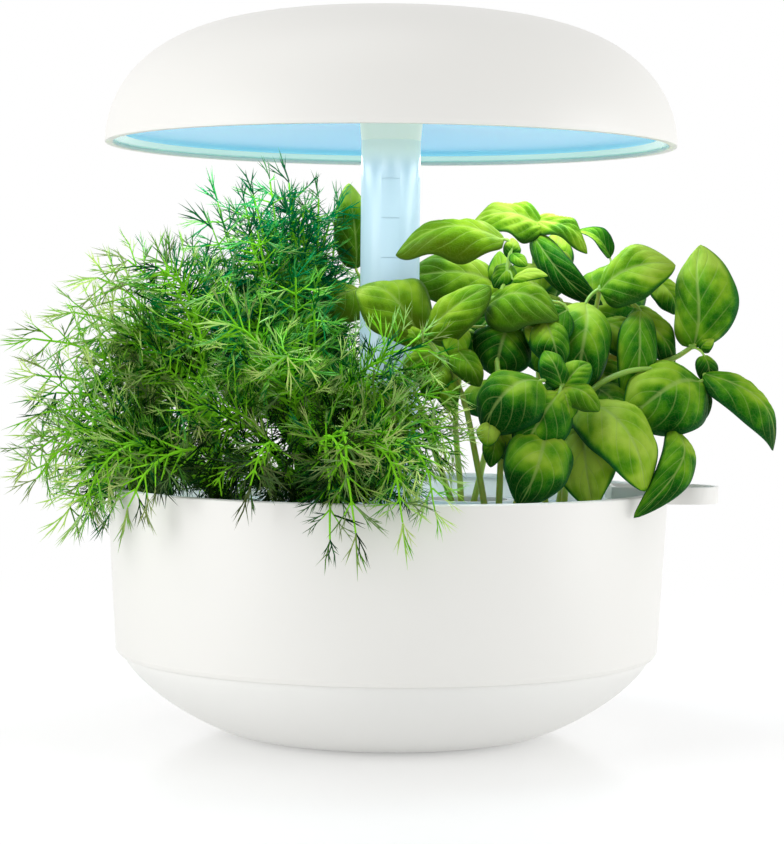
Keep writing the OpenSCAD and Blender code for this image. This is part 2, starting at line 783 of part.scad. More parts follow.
// Front basil: stems, then leaves as [base, tip, width].
basil_1_stems = [
    [[59, -82, plant_low], [60, -80, 180], [58, -61, 228], [66, -50, 272]],
    [[54, -82, plant_low], [47, -80, 158], [36, -72, 200], [21, -63, 221]],
    [[62, -84, plant_low], [80, -90, 165], [92, -90, 197]]
];
basil_1_leaves = [
    [[20, -62, 221], [-15, -36, 255], 34], [[21, -64, 220], [52, -74, 249], 26],
    [[17, -68, 218], [8, -62, 231], 10], [[34, -66, 233], [37, -74, 209], 16],
    [[63, -50, 272], [6, -50, 270], 30], [[67, -56, 254], [85, -62, 258], 8],
    [[57, -58, 241], [95, -72, 237], 34], [[60, -62, 228], [52, -72, 202], 34],
    [[89, -66, 213], [74, -68, 231], 14], [[80, -92, 200], [49, -108, 177], 38],
    [[91, -93, 195], [73, -106, 164], 30], [[88, -94, 176], [74, -122, 140], 36],
    [[92, -90, 197], [85, -86, 216], 16], [[92, -90, 197], [111, -100, 187], 16],
    [[92, -90, 197], [107, -84, 211], 18], [[66, -50, 266], [67, -50, 277], 9],
    [[56, -84, 172], [54, -94, 155], 12]
];

// Right-hand basil.
basil_2_stems = [
    [[95, 0, plant_low], [106, -14, 190], [116, -28, 250]],
    [[90, 4, plant_low], [84, 2, 210], [80, -2, 288]],
    [[98, -6, plant_low], [108, -56, 192], [126, -60, 204], [146, -56, 206], [172, -48, 197]],
    [[112, -20, 215], [150, -34, 210], [172, -34, 222]]
];
basil_2_leaves = [
    [[83, -6, 287], [48, -10, 287], 28], [[79, -6, 285], [110, -10, 273], 24],
    [[80, -8, 278], [114, -34, 237], 26], [[120, 0, 268], [106, 2, 282], 12],
    [[116, -30, 248], [154, -44, 264], 38], [[150, -4, 256], [162, -8, 237], 18],
    [[112, -34, 243], [109, -66, 199], 46], [[138, -34, 236], [132, -52, 189], 32],
    [[140, -20, 238], [160, -32, 212], 24], [[170, -33, 219], [170, -34, 274], 46],
    [[171, -50, 198], [130, -74, 179], 48], [[174, -47, 199], [210, -50, 168], 26],
    [[171, -36, 217], [177, -40, 224], 9], [[172, -44, 214], [176, -46, 197], 12],
    [[171, -48, 196], [170, -52, 177], 9], [[106, -62, 190], [133, -104, 147], 44],
    [[160, -58, 190], [133, -102, 131], 30], [[104, -40, 175], [105, -80, 138], 40],
    [[114, 8, 240], [150, 34, 262], 38], [[112, 6, 220], [140, 44, 205], 36]
];

// Rear basil.
basil_3_stems = [
    [[44, 82, plant_low], [42, 74, 200], [66, 46, 250]],
    [[50, 82, plant_low], [70, 66, 200], [96, 46, 255]],
    [[40, 84, plant_low], [10, 74, 200], [-16, 56, 250]]
];
basil_3_leaves = [
    [[64, 44, 248], [8, 32, 254], 36], [[66, 46, 246], [64, 40, 273], 16],
    [[-20, 52, 262], [-24, 42, 313], 22], [[-18, 54, 250], [-40, 36, 236], 30],
    [[94, 46, 256], [99, 40, 285], 22], [[96, 46, 246], [94, 30, 265], 22],
    [[48, 66, 222], [34, 60, 248], 24], [[54, 70, 215], [80, 90, 226], 30],
    [[44, 76, 210], [20, 104, 232], 34], [[70, 60, 232], [104, 76, 250], 34]
];

// A stem's points with the last moved on a little, so that the stem holds what grows at its end.
function grown(points) =
    let (last = len(points) - 1, end = points[last])
    [for (i = [0 : last]) i < last ? points[i] : end + unit(end - points[last - 1]) * leaf_t];

module basil_plant(stems, leaves) {
    color("olivedrab") union() {
        for (s = stems) swept(grown(s), 2, 1.4, stem_sides);
        for (l = leaves) {
            stalk(nearest(stems, l[0]), l[0], 1.05, 0.8);
            leaf(l[0], l[1], l[2], toward);
        }
    }
}

// Front dill: fronds as [knee, tip, spread].
dill_1_fronds = [
    [[-24, -172, 235], [-11, -178, 100], 14],
    [[-62, -168, 215], [-74, -158, 118], 12],
    [[-12, -160, 220], [-23, -172, 126], 12],
    [[22, -168, 215], [22, -174, 120], 12],
    [[34, -160, 215], [34, -168, 126], 14],
    [[-128, -140, 200], [-140, -114, 106], 16],
    [[-95, -110, 215], [-118, -118, 165], 20],
    [[-50, -100, 235], [-55, -122, 205], 22],
    [[-10, -84, 240], [36, -100, 208], 20],
    [[0, -80, 215], [42, -108, 182], 20],
    [[-70, -91, 245], [-92, -108, 224], 21]
];

// Left-hand dill.
dill_2_fronds = [
    [[-150, -10, 235], [-214, -10, 217], 24],
    [[-160, -20, 215], [-209, -20, 196], 22],
    [[-160, -36, 203], [-203, -35, 172], 18],
    [[-175, -50, 200], [-202, -60, 143], 20],
    [[-180, -62, 200], [-197, -56, 124], 16],
    [[-162, -78, 200], [-174, -82, 106], 16],
    [[-154, -90, 200], [-166, -94, 103], 14],
    [[-140, 0, 250], [-192, 0, 232], 24],
    [[-135, -5, 265], [-174, -5, 253], 24],
    [[-125, -10, 270], [-155, -6, 265], 24],
    [[-108, -18, 270], [-131, -20, 262], 24],
    [[-130, 40, 240], [-162, 60, 228], 24]
];

// Rear dill.
dill_3_fronds = [
    [[-62, 40, 260], [-70, 8, 325], 20],
    [[-54, 40, 270], [-59, 18, 323], 20],
    [[-42, 50, 260], [-41, 20, 311], 18],
    [[-34, 62, 250], [-30, 34, 310], 14],
    [[-90, 40, 250], [-100, 2, 309], 20],
    [[-90, 30, 250], [-102, -16, 290], 22],
    [[-95, 30, 240], [-116, -4, 279], 22],
    [[-54, 20, 215], [-52, -28, 266], 18],
    [[-62, 110, 230], [-84, 118, 250], 24],
    [[-30, 108, 235], [-22, 112, 246], 22]
];

// A dill plant: a short stalk with a frond leaving it every few millimetres.
module dill_plant(azimuth, fronds) {
    foot = capsule_r * [cos(azimuth), sin(azimuth), 0] + [0, 0, plant_low];
    rise = [0, 0, 2.6];
    color("forestgreen") union() {
        swept([foot, foot + rise * (len(fronds) + 3)], 2, 1.6, stem_sides);
        for (i = [0 : len(fronds) - 1])
            frond(foot + rise * (i + 3), fronds[i][0], fronds[i][1], fronds[i][2],
                  0.09 * (i % 5 - 2) + 0.03);
    }
}

// ---- Column adapters ----

module adapter(z0, z1) {
    color("azure") difference() {
        rotate_extrude() polygon([
            [bore_r, z0 - spigot_h], [spig_r, z0 - spigot_h], [spig_r, z0], [col_r, z0],
            [col_r, z1], [socket_r, z1], [socket_r, z1 - socket_deep], [bore_r, z1 - socket_deep]
        ]);
        for (k = [1 : 3])
            translate([-mark_w / 2, -col_r - 1, z1 - k * mark_pitch - mark_h / 2])
                cube([mark_w, 1 + mark_deep + col_r - sqrt(col_r * col_r - mark_w * mark_w / 4), mark_h]);
    }
}

module adapter_contacts(z0, z1) {
    low = z0 - spigot_h;
    high = z1 - socket_deep;
    color("darkgoldenrod") union() {
        contact_block(bore_r - block_gap, low, false);
        conductors(low + contact_t, high);
        contact_block(spig_r, high, true);
    }
}

module lower_adapter() adapter(post_top, lower_top);
module lower_adapter_contacts() adapter_contacts(post_top, lower_top);
module upper_adapter() adapter(lower_top, upper_top);
module upper_adapter_contacts() adapter_contacts(lower_top, upper_top);

// ---- Lamp ----

module lamp_dome() {
    inner = dome_curve(dome_wall);
    color("white") difference() {
        union() {
            rotate_extrude() polygon(concat(
                dome_curve(0),
                [for (i = [len(inner) - 1 : -1 : 1]) inner[i]],
                [[dome_r - dome_wall, dome_z + dome_lip_t],
                 [dome_r - dome_lip_w, dome_z + dome_lip_t],
                 [dome_r - dome_lip_w, dome_z]]));
            intersection() {
                union() {
                    around(boss_az, boss_pcr) rod(boss_r, plate_z + plate_t, dome_z + dome_h);
                    rod(button_r + button_skirt_w, dome_z + dome_h - 7, dome_z + dome_h);
                    rod(button_stem_r + button_guide_w, guide_z, dome_z + dome_h);
                }
                rotate_extrude() polygon(concat(dome_curve(dome_wall / 2), [[0, dome_z]]));
            }
        }
        around(boss_az, boss_pcr) rod(lamp_screw_r, plate_z, plate_z + plate_t + boss_hole);
        rod(button_r + fit_gap, button_top - button_cap_t - 1, dome_z + dome_h + 1);
        rod(button_stem_r + fit_gap, guide_z - 1, dome_z + dome_h + 1);
    }
}

module panel_ring() {
    lip = dome_z + dome_lip_t;
    shelf_r = panel_r - panel_shelf_w;
    color("silver") rotate_extrude() polygon([
        [dome_r - dome_lip_w, lip], [ring_out_r, lip], [ring_out_r, panel_edge_z + panel_t + 1],
        [panel_r + fit_gap, panel_edge_z + panel_t + 1], [panel_r + fit_gap, panel_edge_z],
        [shelf_r, panel_edge_z]
    ]);
}

module light_panel() {
    hole = collar_r(panel_mid_z + panel_t) + fit_gap;
    color("lightskyblue") rotate_extrude() polygon([
        [panel_r, panel_edge_z], [panel_r, panel_edge_z + panel_t],
        [hole, panel_mid_z + panel_t], [hole, panel_mid_z],
        [panel_r - panel_shelf_w - 0.2, panel_edge_z]
    ]);
}

// Outer radius of the lamp's flared collar at height z.
function collar_r(z) = col_r + collar_flare * (z - upper_top) / (board_z - upper_top);

module lamp_socket() {
    top = plate_z;
    color("azure") difference() {
        rotate_extrude() polygon([
            [bore_r, upper_top - spigot_h], [spig_r, upper_top - spigot_h], [spig_r, upper_top],
            [col_r, upper_top], [collar_r(top - socket_flange_t), top - socket_flange_t],
            [socket_flange_r, top - socket_flange_t], [socket_flange_r, top], [bore_r, top]
        ]);
        around(screw_az, socket_screw_pcr)
            rod(lamp_screw_r, top - socket_flange_t - 1, top + 1);
    }
}

module heat_plate() {
    color("silver") difference() {
        union() {
            rod(plate_r, plate_z, plate_z + plate_t);
            for (x = [-26, 26]) for (y = [-16, 16])
                translate([x, y, 0]) rod(2.5, plate_z + 1, control_z);
        }
        rod(9, plate_z - 1, plate_z + plate_t + 1);
        around(screw_az, socket_screw_pcr) rod(lamp_screw_r, plate_z - 1, plate_z + plate_t);
        around(boss_az, boss_pcr) rod(lamp_screw_r, plate_z - 1, plate_z + plate_t + 1);
    }
}

module led_board() {
    color("white") difference() {
        tube(board_r, board_in_r, board_z, plate_z);
        around(boss_az, boss_pcr) rod(boss_r, board_z - 1, plate_z + 1);
    }
}

// One ring of LED packages under the board: count of them at radius r, first at azimuth a0.
module led_ring(r, count, a0) {
    around([for (i = [0 : count - 1]) a0 + 360 * i / count], r)
        translate([-led / 2, -led / 2, board_z - led_t]) cube([led, led, led_t]);
}

module leds_white() {
    color("lightyellow") {
        led_ring(board_r - 14, 24, 0);
        led_ring((board_r + board_in_r) / 2 - 6, 12, 15);
    }
}

module leds_red() {
    color("red") led_ring(board_in_r + 34, 12, 15);
}

module leds_blue() {
    color("blue") led_ring(board_in_r + 14, 8, 0);
}

// A screw with its head under z0 and its point at z1.
module lamp_screw(z0, z1) {
    rod(lamp_screw_r, z0, z1);
    rod(lamp_screw_r + lamp_head_w, z0 - lamp_head_t, z0);
}

module lamp_screws() {
    color("dimgray") {
        around(screw_az, socket_screw_pcr)
            lamp_screw(plate_z - socket_flange_t, plate_z + plate_t);
        around(boss_az, boss_pcr) lamp_screw(plate_z, plate_z + plate_t + boss_hole - 1);
    }
}

module control_board() {
    top = control_z + control_t;
    color("seagreen") union() {
        translate([-32, -22, control_z]) cube([64, 44, control_t]);
        translate([12, -8, top - eps]) cube([12, 12, 2]);
        translate([-26, -16, top - eps]) cube([10, 14, 6]);
        translate([-3, -3, top - eps]) cube([6, 6, 3.6]);
        rod(1.7, top, switch_top);
        for (y = [8, 16]) translate([22, y, 0]) rod(3, top - eps, top + 9);
    }
}

module lamp_contacts() {
    low = upper_top - spigot_h;
    color("darkgoldenrod") union() {
        contact_block(bore_r - block_gap, low, false);
        conductors(low + contact_t, control_z - eps);
    }
}

module mode_button() {
    color("lightgray") union() {
        rod(button_r, button_top - button_cap_t + button_travel, button_top);
        rod(button_stem_r, switch_top + button_travel + 0.1, button_top - 1);
        rod(button_stem_r + button_stop_w, guide_z - fit_gap - button_stop_t, guide_z - fit_gap);
    }
}

reservoir_bowl();
bowl_skirt();
foot_ring();
grow_tray();
column_post();
post_screws();
base_contacts();
pour_lip();
float_guide();
level_float();
water_manifold();
riser_tube();
pump_hanger();
pump_housing();
pump_cover();
pump_stator();
pump_strainer();
filter_foam();
pump_lead();
impeller();
rotor_magnet();
rotor_shaft();
power_lead();
dc_inlet();
capsule_cup(capsule_az[0]);  // capsule_cup_1
capsule_cup(capsule_az[1]);  // capsule_cup_2
capsule_cup(capsule_az[2]);  // capsule_cup_3
capsule_cup(capsule_az[3]);  // capsule_cup_4
capsule_cup(capsule_az[4]);  // capsule_cup_5
capsule_cup(capsule_az[5]);  // capsule_cup_6
growing_plug(capsule_az[0]);  // growing_plug_1
growing_plug(capsule_az[1]);  // growing_plug_2
growing_plug(capsule_az[2]);  // growing_plug_3
growing_plug(capsule_az[3]);  // growing_plug_4
growing_plug(capsule_az[4]);  // growing_plug_5
growing_plug(capsule_az[5]);  // growing_plug_6
basil_plant(basil_1_stems, basil_1_leaves);  // basil_plant_1
basil_plant(basil_2_stems, basil_2_leaves);  // basil_plant_2
basil_plant(basil_3_stems, basil_3_leaves);  // basil_plant_3
dill_plant(capsule_az[5], dill_1_fronds);  // dill_plant_1
dill_plant(capsule_az[4], dill_2_fronds);  // dill_plant_2
dill_plant(capsule_az[3], dill_3_fronds);  // dill_plant_3
lower_adapter();
lower_adapter_contacts();
upper_adapter();
upper_adapter_contacts();
lamp_dome();
panel_ring();
light_panel();
lamp_socket();
heat_plate();
led_board();
leds_white();
leds_red();
leds_blue();
lamp_screws();
control_board();
lamp_contacts();
mode_button();
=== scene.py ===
# %% [markdown]
# # Countertop hydroponic garden
# A white water bowl carries a planting tray, a frosted column and a domed grow lamp, with basil on
# the right and dill on the left. The solid model gives every place and size. This lesson dresses
# it: smooth mouldings, a lit panel, and plants built leaf by leaf.

import math
import random

import bmesh
import bpy
from mathutils import Matrix, Vector


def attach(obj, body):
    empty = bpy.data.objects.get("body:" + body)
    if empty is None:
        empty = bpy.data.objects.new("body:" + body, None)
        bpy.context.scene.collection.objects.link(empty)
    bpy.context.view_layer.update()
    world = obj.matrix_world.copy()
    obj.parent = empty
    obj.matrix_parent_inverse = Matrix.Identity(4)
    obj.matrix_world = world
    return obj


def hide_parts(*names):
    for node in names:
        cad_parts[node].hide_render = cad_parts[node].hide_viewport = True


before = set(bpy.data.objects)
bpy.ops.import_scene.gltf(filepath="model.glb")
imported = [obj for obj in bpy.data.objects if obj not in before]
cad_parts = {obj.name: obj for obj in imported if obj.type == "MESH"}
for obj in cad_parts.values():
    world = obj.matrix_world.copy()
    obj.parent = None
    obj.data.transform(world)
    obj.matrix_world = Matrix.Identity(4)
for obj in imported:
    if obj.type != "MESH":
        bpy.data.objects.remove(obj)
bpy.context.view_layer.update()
MM = 0.001
for plain_finish in list(bpy.data.materials):
    bpy.data.materials.remove(plain_finish)     # the solid model's flat colours aren't used

# %% [markdown]
# ## Camera
# A long lens from 1.4 m away, a little above the bowl, keeps the rims nearly flat. The camera tips
# down two degrees instead of shifting, and rolls by half a degree.

# %% Camera
EYE = Vector((0.002, -1.413, 0.224))
LENS = 106.9
PITCH = math.radians(2.01)
ROLL = math.radians(0.56)

camera_data = bpy.data.cameras.new("garden_camera")
camera_data.lens = LENS
camera_data.sensor_width = 36
camera = bpy.data.objects.new("garden_camera", camera_data)
bpy.context.scene.collection.objects.link(camera)
camera.matrix_world = (Matrix.Translation(EYE) @ Matrix.Rotation(math.pi / 2 - PITCH, 4, "X")
                       @ Matrix.Rotation(ROLL, 4, "Z"))
bpy.context.scene.camera = camera
bpy.context.scene.view_settings.view_transform = "Standard"

# %% [markdown]
# ## Small tools
# A few helpers write node trees: they add a node and fill its sockets, do sums, mix colours and
# shaders. The others turn a bmesh into an object whose place is in its mesh, and apply modifiers.

# %% Node and mesh helpers
def add(tree, kind, inputs=None, **settings):
    """Adds a node, sets its properties, and sets or links its inputs."""
    node = tree.nodes.new(kind)
    for key, value in settings.items():
        setattr(node, key, value)
    for key, value in (inputs or {}).items():
        if isinstance(value, bpy.types.NodeSocket):
            tree.links.new(value, node.inputs[key])
        else:
            node.inputs[key].default_value = value
    return node


def maths(tree, operation, a, b=0.0, c=0.0, **settings):
    """The result of a math node."""
    return add(tree, "ShaderNodeMath", {0: a, 1: b, 2: c}, operation=operation,
               **settings).outputs[0]


def smooth(tree, value, low, high):
    """Goes from 0 to 1, eased at both ends, as value goes from low to high."""
    return add(tree, "ShaderNodeMapRange", {"Value": value, "From Min": low, "From Max": high},
               interpolation_type="SMOOTHSTEP").outputs[0]


def blend(tree, factor, a, b, kind="MIX"):
    """Mixes two colours."""
    return add(tree, "ShaderNodeMix", {0: factor, 6: a, 7: b}, data_type="RGBA",
               blend_type=kind).outputs[2]


def color_ramp(tree, value, colors, places=None):
    """A ramp through colours, evenly spaced unless their places are given."""
    ramp = add(tree, "ShaderNodeValToRGB", {0: value})
    stops = ramp.color_ramp.elements
    stops[0].color, stops[1].color = colors[0], colors[-1]
    places = places or [k / (len(colors) - 1) for k in range(1, len(colors) - 1)]
    for place, color in zip(places, colors[1:-1]):
        stops.new(place).color = color
    return ramp.outputs[0]


def axes(tree):
    """A point's x, y and z in metres."""
    return add(tree, "ShaderNodeSeparateXYZ",
               {0: add(tree, "ShaderNodeTexCoord").outputs["Object"]}).outputs


def read_traits(tree):
    """The three values that a plant's pieces carry at each corner."""
    return add(tree, "ShaderNodeSeparateColor", {0: add(
        tree, "ShaderNodeAttribute", attribute_name="traits").outputs["Color"]}).outputs


def new_finish(name, **shader):
    """A material, its node tree and its main shader, with some of the shader's values set."""
    material = bpy.data.materials.new(name)
    material.use_nodes = True
    principled = material.node_tree.nodes["Principled BSDF"]
    for key, value in shader.items():
        principled.inputs[key.replace("_", " ")].default_value = value
    return material, material.node_tree, principled


def mix_surface(tree, factor, first, second):
    """Makes a mix of two shaders the material's surface."""
    mixed = add(tree, "ShaderNodeMixShader", {0: factor, 1: first, 2: second})
    tree.links.new(mixed.outputs[0], tree.nodes["Material Output"].inputs["Surface"])


def rgb(red, green, blue):
    """A colour given as it looks on screen, 0 to 255, in the linear values that shaders take."""
    def linear(c):
        c /= 255
        return c / 12.92 if c <= 0.04045 else ((c + 0.055) / 1.055) ** 2.4
    return (linear(red), linear(green), linear(blue), 1)


def smooth_mesh(mesh, sharp):
    """Smooth shading, except where faces meet at more than sharp degrees."""
    mesh.shade_smooth()
    mesh.set_sharp_from_angle(angle=math.radians(sharp))


def add_object(name, data):
    """An object for a mesh, curve, light or camera, in the scene."""
    thing = bpy.data.objects.new(name, data)
    bpy.context.scene.collection.objects.link(thing)
    return thing


def finish_mesh(name, bm, material, sharp=35):
    """Makes an object from a bmesh."""
    mesh = bpy.data.meshes.new(name)
    bm.to_mesh(mesh)
    bm.free()
    smooth_mesh(mesh, sharp)
    mesh.materials.append(material)
    return add_object(name, mesh)


def applied(thing, kind, **settings):
    """Adds a modifier, applies it and returns the object."""
    modifier = thing.modifiers.new(kind.lower(), kind)
    for key, value in settings.items():
        setattr(modifier, key, value)
    with bpy.context.temp_override(object=thing, active_object=thing, selected_objects=[thing]):
        bpy.ops.object.modifier_apply(modifier=modifier.name)
    return thing

# %% [markdown]
# ## Finishes
# Moulded plastic is never one flat colour: its gloss drifts a little and it has a fine grain. A
# shader group holds that drift once, and each plastic places it with its own values.

# %% The moulded-plastic group
def group(name, inputs, outputs):
    """An empty shader group: inputs are (name, kind, value), outputs are (name, kind)."""
    tree = bpy.data.node_groups.new(name, "ShaderNodeTree")
    for label, kind, value in inputs:
        tree.interface.new_socket(label, in_out="INPUT",
                                  socket_type="NodeSocket" + kind).default_value = value
    for label, kind in outputs:
        tree.interface.new_socket(label, in_out="OUTPUT", socket_type="NodeSocket" + kind)
    return tree, tree.nodes.new("NodeGroupInput").outputs, tree.nodes.new("NodeGroupOutput")


def build_moulding():
    """A slow drift of tone and gloss, and the height of a fine grain."""
    tree, given, out = group(
        "moulding",
        [("Color", "Color", (0.8, 0.8, 0.8, 1)), ("Roughness", "Float", 0.3),
         ("Drift", "Float", 0.05), ("Grain", "Float", 900.0)],
        [("Color", "Color"), ("Roughness", "Float"), ("Height", "Float")])
    place = add(tree, "ShaderNodeTexCoord").outputs["Object"]
    slow = add(tree, "ShaderNodeTexNoise", {"Vector": place, "Scale": 14.0, "Detail": 3.0})
    fine = add(tree, "ShaderNodeTexNoise", {"Vector": place, "Scale": given["Grain"],
                                            "Detail": 2.0})
    swing = maths(tree, "MULTIPLY", maths(tree, "SUBTRACT", slow.outputs["Fac"], 0.5),
                  given["Drift"])
    tone = add(tree, "ShaderNodeHueSaturation", {"Value": maths(tree, "ADD", swing, 1.0),
                                                 "Color": given["Color"]})
    tree.links.new(tone.outputs[0], out.inputs["Color"])
    tree.links.new(maths(tree, "ADD", swing, given["Roughness"]), out.inputs["Roughness"])
    tree.links.new(fine.outputs["Fac"], out.inputs["Height"])
    return tree


MOULDING = build_moulding()
GRAIN_DEPTH = 0.5 * MM


def moulded(name, color, roughness=0.3, drift=0.05, grain=900.0, bump=0.02, **shader):
    """A plastic, rubber or metal finish on the moulding group; the rest go to the shader."""
    material, tree, principled = new_finish(name, **shader)
    skin = add(tree, "ShaderNodeGroup", node_tree=MOULDING)
    for key, value in (("Color", color), ("Roughness", roughness), ("Drift", drift),
                       ("Grain", grain)):
        skin.inputs[key].default_value = value
    relief = add(tree, "ShaderNodeBump", {"Height": skin.outputs["Height"], "Strength": bump,
                                          "Distance": GRAIN_DEPTH})
    tree.links.new(skin.outputs["Color"], principled.inputs["Base Color"])
    tree.links.new(skin.outputs["Roughness"], principled.inputs["Roughness"])
    tree.links.new(relief.outputs[0], principled.inputs["Normal"])
    return material

# %% Finishes of the mouldings
shell_white = moulded("shell_white", rgb(237, 236, 232), 0.42, drift=0.02, Specular_IOR_Level=0.25)
vessel_white = moulded("vessel_white", rgb(236, 236, 233), 0.36, drift=0.02,
                       Specular_IOR_Level=0.25)
# The column's emission is painted glow, which the lamp socket's collar shares.
column_clear = moulded("column_clear", rgb(132, 149, 156), 0.3, drift=0.03, bump=0.005,
                       Emission_Strength=0.5)
panel_blue = moulded("panel_blue", rgb(78, 170, 209), 0.16, drift=0.02, bump=0.003,
                     Specular_IOR_Level=0.15, Emission_Strength=0.3,
                     Emission_Color=rgb(64, 196, 252))
# Painted reflection: the ring's emission and the cyan tint of its base colour stand in for the
# panel's light reflected in the metal.
reflector_chrome = moulded("reflector_chrome", rgb(196, 230, 224), 0.12, Metallic=0.5,
                           Emission_Strength=0.2, Emission_Color=rgb(150, 220, 225))
foot_rubber = moulded("foot_rubber", rgb(70, 70, 72), 0.7, drift=0.1, grain=1500, bump=0.2)
button_grey = moulded("button_grey", rgb(206, 208, 208), 0.3)

# Painted glow: the column is no lamp, but its emission stands in for the lamp's light carried in
# the frosted plastic; it glows more, and greener, where it nears the lamp.
GLOW_FROM, GLOW_FULL = 0.314, 0.328     # heights in metres
tree = column_clear.node_tree
near_lamp = smooth(tree, axes(tree)[2], GLOW_FROM, GLOW_FULL)
tree.links.new(blend(tree, near_lamp, rgb(160, 190, 203), rgb(228, 249, 226)),
               tree.nodes["Principled BSDF"].inputs["Emission Color"])
print(len(bpy.data.materials), "finishes so far")

# %% [markdown]
# ## Turned mouldings
# The dome, the bowl and the column are all round, so each starts as one profile that is spun about
# the garden's axis. The sizes repeat the solid model's. Curves are superellipses: one exponent
# for the side and one for the crown give the dome its soft shoulder.

# %% Lathe
TURN = 144


def lathe(name, profile, material, steps=TURN, bevel=0.4, cutters=()):
    """Spins a closed profile of (radius, height) in mm about the axis; cutters are boxes to cut."""
    bm = bmesh.new()
    corners = [bm.verts.new((r * MM, 0, z * MM)) for r, z in profile]
    edges = [bm.edges.new((a, b)) for a, b in zip(corners, corners[1:] + corners[:1])
             if a.co.x + b.co.x > 0]
    bmesh.ops.spin(bm, geom=corners + edges, cent=(0, 0, 0), axis=(0, 0, 1),
                   angle=2 * math.pi, steps=steps, use_merge=True)
    bmesh.ops.remove_doubles(bm, verts=bm.verts, dist=0.002 * MM)
    bmesh.ops.recalc_face_normals(bm, faces=bm.faces)
    thing = finish_mesh(name, bm, material)
    for low, high in cutters:
        thing = cut_box(thing, low, high)
    if bevel:
        applied(thing, "BEVEL", width=bevel * MM, segments=2, limit_method="ANGLE",
                angle_limit=math.radians(30), harden_normals=False)
        thing.data.set_sharp_from_angle(angle=math.radians(50))
    return thing


def box_mesh(low, high):
    """A box between two corners in mm, as a bmesh."""
    bm = bmesh.new()
    size = [(b - a) * MM for a, b in zip(low, high)]
    centre = [(a + b) / 2 * MM for a, b in zip(low, high)]
    bmesh.ops.create_cube(bm, size=1,
                          matrix=Matrix.Translation(centre) @ Matrix.Diagonal((*size, 1)))
    return bm


def cut_box(thing, low, high):
    """Cuts a box out of an object."""
    return cut_with(thing, box_mesh(low, high))


def cut_with(thing, bm):
    """Cuts a bmesh out of an object."""
    cutter = finish_mesh("cutter", bm, thing.data.materials[0])
    applied(thing, "BOOLEAN", object=cutter, operation="DIFFERENCE", solver="EXACT")
    bpy.data.objects.remove(cutter)
    return thing


def shown(thing, body, slot, *nodes):
    """Says which body a piece rides on and which solids it stands for, and hides those; slot is not
    used.
    """
    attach(thing, body)
    if nodes:
        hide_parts(*nodes)
    print(thing.name, len(thing.data.polygons), "faces")
    return thing

# %% Sizes that the mouldings share, in mm
RIM_R, RIM_Z = 157.3, 138.2
SEAM_R, SEAM_Z = 148.0, 44.5
BASE_R, FOOT_LIFT = 85.4, 1.2
WALL = 2.5
VESSEL_TOP_R, VESSEL_TOP_Z = 154.4, 135.7
LEDGE_Z, LEDGE_W, LEDGE_T = 121.0, 4.0, 2.0
DECK_Z = 124.0
NOTCH_FLOOR = 130.2
LIP_LOW, LIP_TOP = 130.6, 140.0
DOME_R, DOME_Z, DOME_H, DOME_WALL = 160.0, 329.2, 73.0, 2.2
LIP_W, LIP_T = 4.5, 2.0
COL_R, BORE_R, SPIGOT_R, SOCKET_R = 16.65, 11.5, 14.15, 14.45
POST_TOP, LOWER_TOP, UPPER_TOP = 156.5, 244.5, 332.5
SPIGOT_H, SOCKET_DEEP = 16.0, 20.0
BOARD_Z, PLATE_Z = 350.0, 351.6
BUTTON_R, STEM_R, FIT = 9.0, 3.0, 0.3
FINE_STEPS = 96      # steps round the column, which is narrow
SIDE_EXP, CROWN_EXP = 3.5, 2.0      # the dome's shoulder and crown
BASE_SIDE_EXP, BASE_LOW_EXP = 1.3, 1.37      # the vessel's underside


def vessel_r(z):
    """Outer radius of the vessel's upper wall at height z."""
    return SEAM_R + (VESSEL_TOP_R - SEAM_R) * (z - SEAM_Z) / (VESSEL_TOP_Z - SEAM_Z)


def base_curve(t, count=30):
    """The vessel's round underside from its flat up to the seam, moved in by t."""
    line = []
    for k in range(count + 1):
        a = math.pi / 2 * k / count
        out, up = math.sin(a) ** (2 / BASE_SIDE_EXP), 1 - math.cos(a) ** (2 / BASE_LOW_EXP)
        line.append((BASE_R - t / 3 + (SEAM_R - BASE_R - t * 2 / 3) * out,
                     FOOT_LIFT + t + (SEAM_Z - FOOT_LIFT - t) * up))
    return line


def dome_curve(t, inner_r, count=44):
    """The dome's curve from its rim up to radius inner_r, moved in by t: a steep part by angle,
    then a flatter part by radius."""
    big, high = DOME_R - t, DOME_H - t
    steep = [(big * math.cos(a) ** (2 / SIDE_EXP), DOME_Z + high * math.sin(a))
             for a in (math.radians(d) for d in range(0, 50, 3))]
    flat = []
    for k in range(count + 1):
        r = inner_r + (big - inner_r) * (1 - k / count) ** 1.6
        flat.append((r, DOME_Z + high * max(0, 1 - (r / big) ** SIDE_EXP) ** (1 / CROWN_EXP)))
    return steep + [p for p in flat if p[1] > steep[-1][1] + 0.5]

# %% [markdown]
# ## Lamp
# The dome is one thin shell. Its rim turns inwards as a flat lip, a pocket in the crown takes the
# mode button, and four bosses inside take the screws of the heat plate.

# %% Dome
APEX = DOME_Z + DOME_H
BOSS_R, BOSS_PITCH, BOSS_TOP = 4, 110, 389.4
PLATE_T = 2.4
pocket_r, pocket_z = BUTTON_R + FIT, APEX - 5.8
guide_z, guide_top = APEX - 18, APEX - 7
crown_in = BUTTON_R + 2.5
lip_z = DOME_Z + LIP_T
dome_profile = dome_curve(0, pocket_r) + [
    (pocket_r, pocket_z), (STEM_R + FIT, pocket_z), (STEM_R + FIT, guide_z),
    (STEM_R + 3, guide_z), (STEM_R + 3, guide_top), (crown_in, guide_top)
] + [p for p in dome_curve(DOME_WALL, crown_in)[::-1] if p[1] >= lip_z] + [
    (DOME_R - DOME_WALL, lip_z), (DOME_R - LIP_W, lip_z), (DOME_R - LIP_W, DOME_Z)
]
dome = lathe("lamp_dome_shell", dome_profile, shell_white, bevel=0.5)

